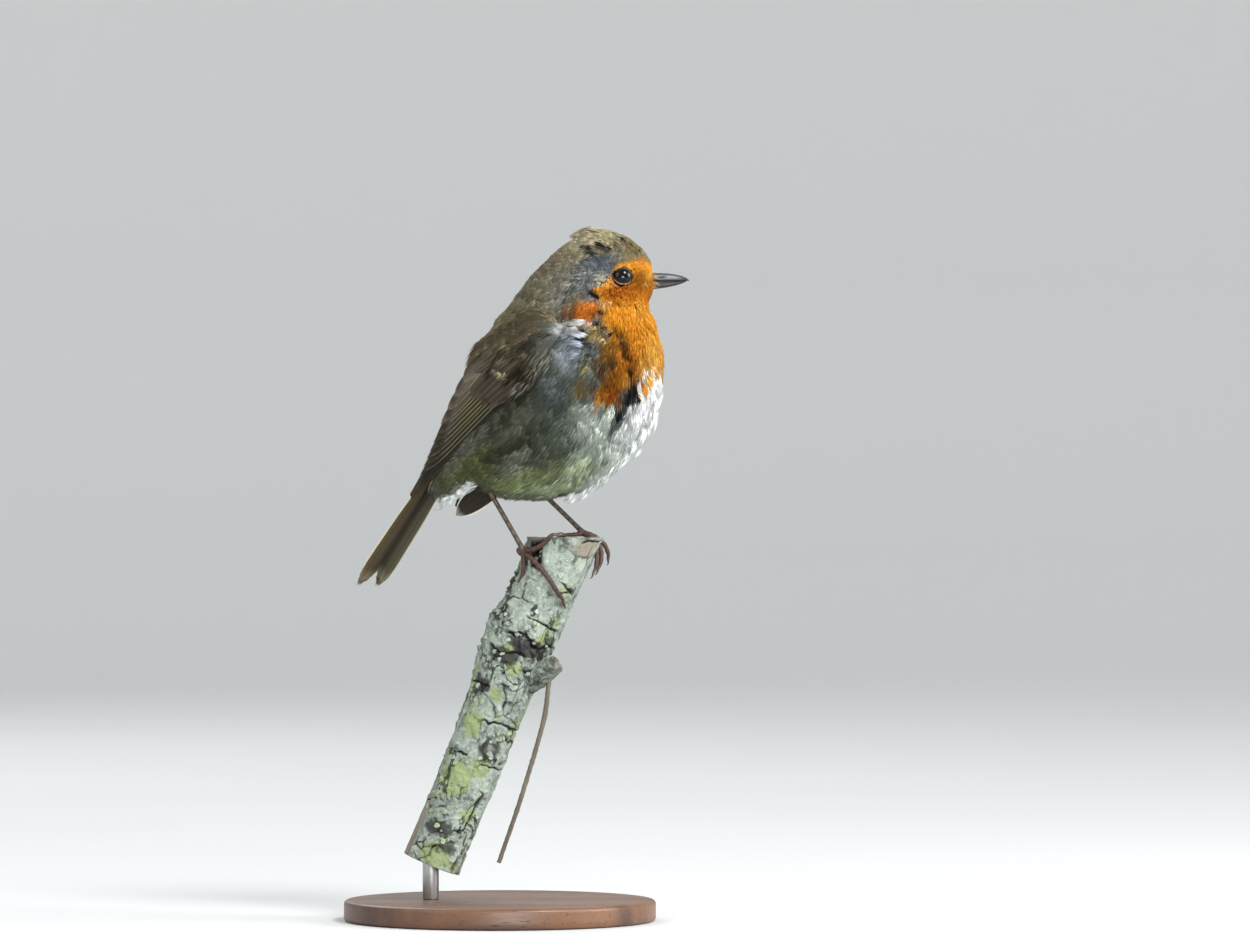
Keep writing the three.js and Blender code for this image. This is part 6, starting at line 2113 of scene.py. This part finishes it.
def make_branch():
    """The branch: its bark lifted in plates with cracks between, a hollow in its cut top and a peeled strip."""
    rings, sides = 420, 150
    share = np.linspace(0, 1, rings)[:, None] * np.ones(sides)
    angle = circle(sides)[None, :] * np.ones((rings, 1))
    degrees = np.degrees(angle)
    lumpy = branch_radius(share) + 0.18 * np.sin(3 * angle + 9 * share) + 0.14 * np.sin(5 * angle - 14 * share)
    for along, toward, rise, spread, width in KNOTS:
        off = turned_from(degrees, toward)
        lumpy = lumpy + rise * np.exp(-(((share - along) / spread) ** 2) - (off / width) ** 2)
    u, v = share * branch_length, angle / (2 * np.pi)
    ring = np.stack([np.cos(angle) * 9, np.sin(angle) * 9, u], -1)
    wavy = noise(ring, 6.0, 50) * 2.4 + noise(ring, 2.4, 51) * 1.3 + noise(ring, 0.9, 49) * 0.5
    border = cell_edges(u + wavy, v + 0.020 * noise(ring, 3.0, 52), 70, 53, 1.15)
    crack = (1 - smooth(0.08, 0.6, border)) * smooth(0.05, 0.45, noise(ring, 6.0, 56))
    for height, toward, width, thick in CRACKS:
        level = (height - BRANCH_FOOT[2]) / branch_axis[2]
        wobble = 1.5 * noise(ring, 4.5, 58) + 0.7 * noise(ring, 1.5, 48)
        off = np.abs(turned_from(degrees, toward))
        gap = 1 - smooth(0.4 * thick, 1.3 * thick, np.abs(u - level - wobble))
        crack = np.maximum(crack, gap * (1 - smooth(0.8 * width, 1.1 * width, off)))
    toward_left = np.maximum(0, 1 - np.abs(turned_from(degrees, 180)) / 52)
    bare = smooth(0.25, 0.5, toward_left) * (1 - smooth(16, 26, u + 4 * noise(ring, 8.0, 60)))
    bare = np.maximum(bare, patches(WORN, u, degrees, ring, 45))
    relief = 0.30 * noise(ring, 2.6, 61) + 0.22 * noise(ring, 1.2, 62) + 0.14 * noise(ring, 0.7, 63)
    rough_left = np.exp(-(turned_from(degrees, 188) / 26) ** 2) * smooth(58, 66, u) * (1 - smooth(88, 94, u))
    relief = relief * (1 + 2.2 * rough_left)
    relief = (relief - 0.55 * crack) * (1 - 0.8 * bare) - 0.25 * bare
    dark = 0.55 * smooth(0.35, 0.8, noise(ring, 7.0, 64) * 0.7 + noise(ring, 2.4, 65) * 0.5)
    dark = np.maximum(dark, patches(STAINS, u, degrees, ring, 46)) * (1 - bare)
    green = 0.75 * smooth(0.25, 0.7, noise(ring, 8.0, 66) * 0.8 + noise(ring, 2.4, 67) * 0.4)
    green = np.maximum(green, patches(CRUSTS, u, degrees, ring, 47))
    reach = lumpy + relief
    points = (BRANCH_FOOT + u[..., None] * branch_axis + (reach * np.cos(angle))[..., None] * branch_right
              + (reach * np.sin(angle))[..., None] * np.array([0, 1.0, 0]))
    # Near the top the rings tilt until the last one lies level, and the cut face closes over them.
    lean = smooth(0.86, 1.0, share)
    level = (BRANCH_TOP[2] - points[..., 2]) / branch_axis[2]
    points = points + (level * lean)[..., None] * branch_axis * np.where(share > 0.999, 1, lean)[..., None]
    # The rotted hollow in the cut breaks out through the front of the rim.
    def hollow(place):
        away = np.hypot(place[..., 0] - 11.0, np.maximum(place[..., 1] + 1.5, 0) * 0.7)
        return 5.0 * (1 - smooth(0.8, 2.4, away))

    fall = hollow(points) * (points[..., 1] < 0) * smooth(12.0, 0.0, BRANCH_TOP[2] - points[..., 2])
    points[..., 2] -= fall
    # Painted shade: the rim where the hollow breaks out is painted dark, over its rotted wood.
    crack = np.maximum(crack, np.clip(fall / 3.0, 0, 1))
    cut_rows = []
    rim = points[-1]
    centre = rim.mean(0)
    stored = {"crack": [crack], "bare": [bare], "dark": [dark], "green": [green]}
    inward = [0.97, 0.93, 0.86, 0.78, 0.68, 0.56, 0.44, 0.32, 0.20, 0.10]
    for k, inside in enumerate(inward):
        row = centre + (rim - centre) * inside
        ragged = 0.35 * noise(row, 2.0, 70) + 0.2 * noise(row, 0.8, 71)
        pit = hollow(row)
        lip = 0.7 * np.exp(-(((inside - 0.93) / 0.06) ** 2))
        row[:, 2] = centre[2] + ragged + lip * (0.5 + noise(row, 3.0, 72)) - pit + 0.25 * (k > 1)
        cut_rows.append(row)
        # Painted shade in the pit: darker, and less of the pale wood, towards its bottom.
        stored["crack"].append(np.clip(pit / 1.5, 0, 1)[None])
        stored["bare"].append(np.full((1, sides), 1.0 if k > 0 else 0.4) * (1 - np.clip(pit / 5, 0, 1)))
        stored["dark"].append(np.clip(0.15 + 0.5 * noise(row, 4.0, 73), 0, 1)[None])
        stored["green"].append(np.zeros((1, sides)))
    points = np.concatenate([points, np.array(cut_rows)])
    total = len(points)
    flat, faces = close_ends(points.reshape(-1, 3), total, sides)
    mesh = mesh_from("branch", flat, faces)
    for name, values in stored.items():
        write_values(mesh, name, "FLOAT", np.concatenate([np.concatenate(values).ravel(), [0.0, 0.0]]))
    return make_piece("branch", mesh, BARK_FINISH, ("perch_branch",))


def flake_shape(seed):
    """A small lobed flake of lichen with a turned-up edge."""
    rng = np.random.default_rng(seed)
    spokes = 11
    lobes = rng.uniform(0.72, 1.1, spokes)
    points = [(0.0, 0.0, 0.10)]
    for ring, height in ((0.55, 0.10), (1.0, 0.20)):
        for k in range(spokes):
            turn = 2 * np.pi * k / spokes
            reach = ring * (lobes[k] if ring == 1.0 else 1.0)
            points.append((math.cos(turn) * reach, math.sin(turn) * reach, height + rng.uniform(-0.05, 0.1) * ring))
    faces = []
    for k in range(spokes):
        j = (k + 1) % spokes
        faces += [[0, 1 + k, 1 + j], [1 + k, 1 + spokes + k, 1 + spokes + j, 1 + j]]
    n = len(points)
    points += [(x * 0.96, y * 0.96, z - 0.12) for x, y, z in points]
    faces += [[n + i for i in face[::-1]] for face in faces]
    for k in range(spokes):
        j = (k + 1) % spokes
        faces.append([1 + spokes + k, n + 1 + spokes + k, n + 1 + spokes + j, 1 + spokes + j])
    return np.array(points), faces


def flake_tree():
    """Scatters flakes over a surface, denser where its stored share says, each turned its own way."""
    nodes = Tree("scatter_flakes", "Bark", "Lichen", Flakes="Collection", Finish="Material", Density=1.0,
                 Smallest=0.5, Largest=1.5, Seed="Int")
    inputs = nodes.inputs
    share = nodes.add("GeometryNodeInputNamedAttribute", {"data_type": "FLOAT"}, {"Name": "crust"})
    spread = nodes.add("GeometryNodeDistributePointsOnFaces", {"distribute_method": "RANDOM"},
                       {"Mesh": inputs["Bark"], "Density": inputs["Density"] * share, "Seed": inputs["Seed"]})
    turn = Value(nodes, spread.socket.node.outputs["Rotation"])
    size = nodes.add("FunctionNodeRandomValue", {"data_type": "FLOAT"},
                     {2: inputs["Smallest"], 3: inputs["Largest"], "Seed": inputs["Seed"]}, output=1)
    pick = nodes.add("FunctionNodeRandomValue", {"data_type": "INT"}, {4: 0, 5: 4, "Seed": inputs["Seed"]},
                     output=2)
    return nodes.end(nodes.strew(spread, inputs["Flakes"], pick, turn, size))


def lichen_paint():
    paint = Paint("lichen", Roughness=0.95, Specular_IOR_Level=0.1)
    fine, wide = paint.speckle(1100.0, 4.0), paint.speckle(90.0, 3.0)
    colour = paint.blend(fine.rise(0.2, 0.8), tone(92, 102, 93), tone(169, 175, 166))
    colour = paint.blend(wide.rise(0.52, 0.66) * 0.7, colour, tone(139, 151, 103))
    return paint.surface(colour, relief=fine, depth=0.0002)


def make_lichen(branch):
    """Flakes of lichen over the bark."""
    held = bpy.data.collections.new("flakes")
    for i in range(5):
        shape_points, faces = flake_shape(90 + i)
        held.objects.link(bpy.data.objects.new(f"flake_{i}", mesh_from(f"flake_{i}", shape_points, faces)))
    mesh = branch.data.copy()
    flat = np.zeros(len(mesh.vertices) * 3, np.float32)
    mesh.vertices.foreach_get("co", flat)
    flat = flat.reshape(-1, 3) / MM
    along = (flat - BRANCH_FOOT) @ branch_axis
    cover = smooth(-0.15, 0.45, noise(flat, 6.0, 81)) * smooth(4, 14, along)
    cover = cover * (1 - smooth(branch_length - 9, branch_length - 4, along))
    write_values(mesh, "crust", "FLOAT", cover)
    laid = run_tree("lichen_flakes", mesh, flake_tree(), Flakes=held, Finish=lichen_paint(), Density=200000.0,
                    Smallest=0.4, Largest=0.95, Seed=4)
    drop_collection(held)
    make_piece("lichen_flakes", laid, None)


def make_stub_and_stem():
    """The broken side twig with its snapped end, and the thin stem that hangs from it."""
    route = [np.array(STUB["from"], float), np.array(STUB["to"], float)]
    middle = (route[0] + route[1]) / 2

    def radius(share, angle):
        spot = np.stack([np.cos(angle) * 3, np.sin(angle) * 3, np.full_like(angle, share * 10)], -1)
        reach = STUB["radius"] * (1.0 + 0.10 * math.sin(3.1 * share)) + 0.30 * noise(spot, 1.6, 95)
        return (reach + 0.15 * noise(spot, 0.7, 96)) * (1 - 0.12 * float(smooth(0.93, 1.0, share)))

    rings, sides = 60, 56
    points, faces = tube([route[0], middle, route[1]], radius, rings, sides)
    # The snapped end: a rim of bark round a sunken, torn middle.
    way = unit(route[1] - route[0])
    end = points[(rings - 1) * sides:rings * sides]
    centre = end.mean(0)
    rows = [points[:rings * sides]]
    count = rings
    for inside, drop in ((0.86, 0.1), (0.74, -0.5), (0.55, -1.1), (0.3, -1.3), (0.12, -1.0)):
        row = centre + (end - centre) * inside + way * drop
        row = row + way * (0.35 * noise(row, 1.2, 97) + 0.2 * noise(row, 0.5, 98))[:, None]
        rows.append(row)
        count += 1
    flat = np.vstack(rows)
    flat, faces = close_ends(flat, count, sides)
    mesh = mesh_from("stub", flat, faces)
    last = len(flat) - rings * sides
    spot = noise(flat, 2.0, 99)
    for name, body, face in (("crack", 0.25, 0.45), ("bare", 0.1, 0.6), ("dark", 0.5, 0.6), ("green", 0.1, 0.0)):
        values = np.concatenate([np.full(rings * sides, body), np.full(last, face)])
        write_values(mesh, name, "FLOAT", np.clip(values * (0.6 + 0.9 * spot), 0, 1))
    make_piece("stub", mesh, BARK_FINISH, ("perch_stub",))

    def thin(share, angle):
        spot = np.stack([np.cos(angle), np.sin(angle), np.full_like(angle, share * 60)], -1)
        knot = sum(0.22 * math.exp(-(((share - at) / 0.012) ** 2)) for at in (0.18, 0.44, 0.71))
        knot = knot * 0.6 * (0.6 + 0.4 * np.cos(angle))
        return STEM["radius"] * (0.94 - 0.12 * share) + 0.08 * noise(spot, 0.8, 100) + knot

    points, faces = tube(STEM["points"], thin, 220, 18)
    make_piece("stem", mesh_from("stem", points, faces), stem_paint(), ("perch_stem",))


# ---- Stand and stage ----


def lathe(name, profile, sides=160):
    """A closed turned piece from [radius, height] pairs, bottom to top."""
    angle = circle(sides)
    rings = [np.stack([r * np.cos(angle), r * np.sin(angle), np.full(sides, z)], -1) for r, z in profile]
    points, faces = close_ends(np.vstack(rings), len(profile), sides)
    return mesh_from(name, points, faces)


def make_stand():
    """The steel rod and the round wooden base."""
    radius, height, bevel = BASE["radius"], BASE["height"], BASE["bevel"]
    turn = np.linspace(0, math.pi / 2, 10)
    rim = [(radius - bevel + bevel * math.cos(t), height - bevel + bevel * math.sin(t)) for t in turn]
    profile = [(radius - 1.0, 0.0), (radius - 0.3, 0.12), (radius, 0.6), (radius, 2.0), *rim,
               (radius - 2.0, height), (radius * 0.7, height), (radius * 0.4, height)]
    make_piece("base", lathe("base", profile, 200), wood_paint(), ("stand_base",))
    r = ROD["radius"]
    profile = [(r - 0.25, ROD["low"] - 0.3), (r, ROD["low"]), (r, (ROD["low"] + ROD["high"]) / 2),
               (r, ROD["high"] - 0.3), (r - 0.3, ROD["high"])]
    mesh = lathe("rod", profile, 64)
    mesh.transform(Matrix.Translation((ROD["x"] * MM, 0, 0)))
    make_piece("rod", mesh, steel_paint(), ("stand_rod",))


# Each lamp's name, place in metres, width in metres and power in watts.
LAMPS = [("key", (0.75, -0.95, 1.35), 0.62, 29.0), ("fill", (-1.3, -0.9, 0.8), 1.2, 8.0),
         ("front", (1.3, -0.25, 0.55), 0.8, 17.0), ("rim", (-0.6, 1.1, 1.1), 0.8, 9.0),
         ("low", (0.2, -1.2, 0.06), 0.6, 15.0)]


def make_stage():
    """A pale floor that curves up behind, soft lights and the camera."""
    profile = [(0.01, 0.0), (3.0, 0.0), (3.6, 0.06), (4.2, 0.30), (4.6, 0.75), (4.8, 1.4), (4.85, 3.0)]
    sides, below = 96, 0.0002
    angle = circle(sides)
    rings = [np.stack([r * np.cos(angle), r * np.sin(angle), np.full(sides, z - below)], -1) for r, z in profile]
    middle = list(range(sides - 1, -1, -1))
    mesh = bpy.data.meshes.new("floor")
    mesh.from_pydata(np.vstack(rings).tolist(), [], grid_faces(len(profile), sides, wrap=True) + [middle])
    mesh.polygons.foreach_set("use_smooth", [True] * len(mesh.polygons))
    floor = hold("floor", mesh)
    paint = Paint("floor", Roughness=0.9)
    far = paint.add("ShaderNodeVectorMath", {"operation": "LENGTH"}, {0: paint.place}, "Value")
    cloud = paint.speckle(3.0, 2.0)
    near = paint.blend(cloud, tone(190, 191, 191), tone(196, 197, 197))
    mesh.materials.append(paint.surface(paint.blend(far.rise(0.5, 3.2), near, tone(232, 233, 232))))
    world = bpy.data.worlds.new("studio")
    bpy.context.scene.world = world
    world.use_nodes = True
    world.node_tree.nodes["Background"].inputs["Color"].default_value = (0.95, 0.98, 1.0, 1.0)
    world.node_tree.nodes["Background"].inputs["Strength"].default_value = 0.66
    target = Vector((0.012, -0.01, 0.15))
    for name, place, size, power in LAMPS:
        lamp = bpy.data.lights.new(name, "AREA")
        lamp.shape, lamp.size, lamp.energy = "DISK", size, power
        held = hold(name, lamp)
        held.location = place
        held.rotation_euler = (target - Vector(place)).to_track_quat("-Z", "Y").to_euler()
    lens = bpy.data.cameras.new("camera")
    lens.sensor_width, lens.lens = 36.0, 195.25
    lens.clip_start, lens.clip_end = 0.1, 40.0
    camera = hold("camera", lens)
    camera.location = (0.0369, -2.0, 0.133)
    camera.rotation_euler = (math.pi / 2, 0, 0)
    bpy.context.scene.camera = camera
    bpy.context.scene.view_settings.view_transform = "Standard"


# ---- Making ----

LINING = skin_paint()
EYE_FINISH, LID_FINISH = eye_paint(), lid_paint()
SHANK_FINISH = leg_paint("shank_skin", (26, 20, 16), (60, 46, 35))
TOE_FINISH = leg_paint("toe_skin", (30, 17, 13), (66, 38, 30))
CLAW_FINISH, BARK_FINISH = claw_paint(), bark_paint()
face_points, _, _ = skin_points(160, 120, sockets=False)
FACE_FORM = close_ends(face_points, 160, 120)

make_stage()
make_skin()
body_sheet, tufts, plumage_finish = make_coat()
vane_finish = vane_paint("flight_feathers")
soft_vanes = [leaf_vane(seed, 22, 9, fray=0.5) for seed in (5, 6, 7)]
flight_shape = {"tip": 0.30, "fray": 0.3, "point": 1.1, "base": 0.75, "crown": 0.25}
flight_vanes = [leaf_vane(seed, 22, 9, **flight_shape) for seed in (15, 16, 17)]
wing_tip_vane = leaf_vane(18, 24, 11, tip=0.62, fray=0.1, point=1.0, base=0.75, crown=0.5)
vanes = shape_collection("vanes", [*soft_vanes, *flight_vanes, wing_tip_vane])
make_marks(body_sheet, tufts, plumage_finish)
for side in WINGS:
    make_thigh_coat(side, tufts, plumage_finish)
    make_wing(side, vanes, tufts, vane_finish, plumage_finish)
    make_eye(side)
    make_leg(side)
make_tail(vanes, vane_finish)
make_bill()
make_bristles()
drop_collection(vanes)
drop_collection(tufts)
bpy.data.objects.remove(body_sheet)
make_lichen(make_branch())
make_stub_and_stem()
make_stand()
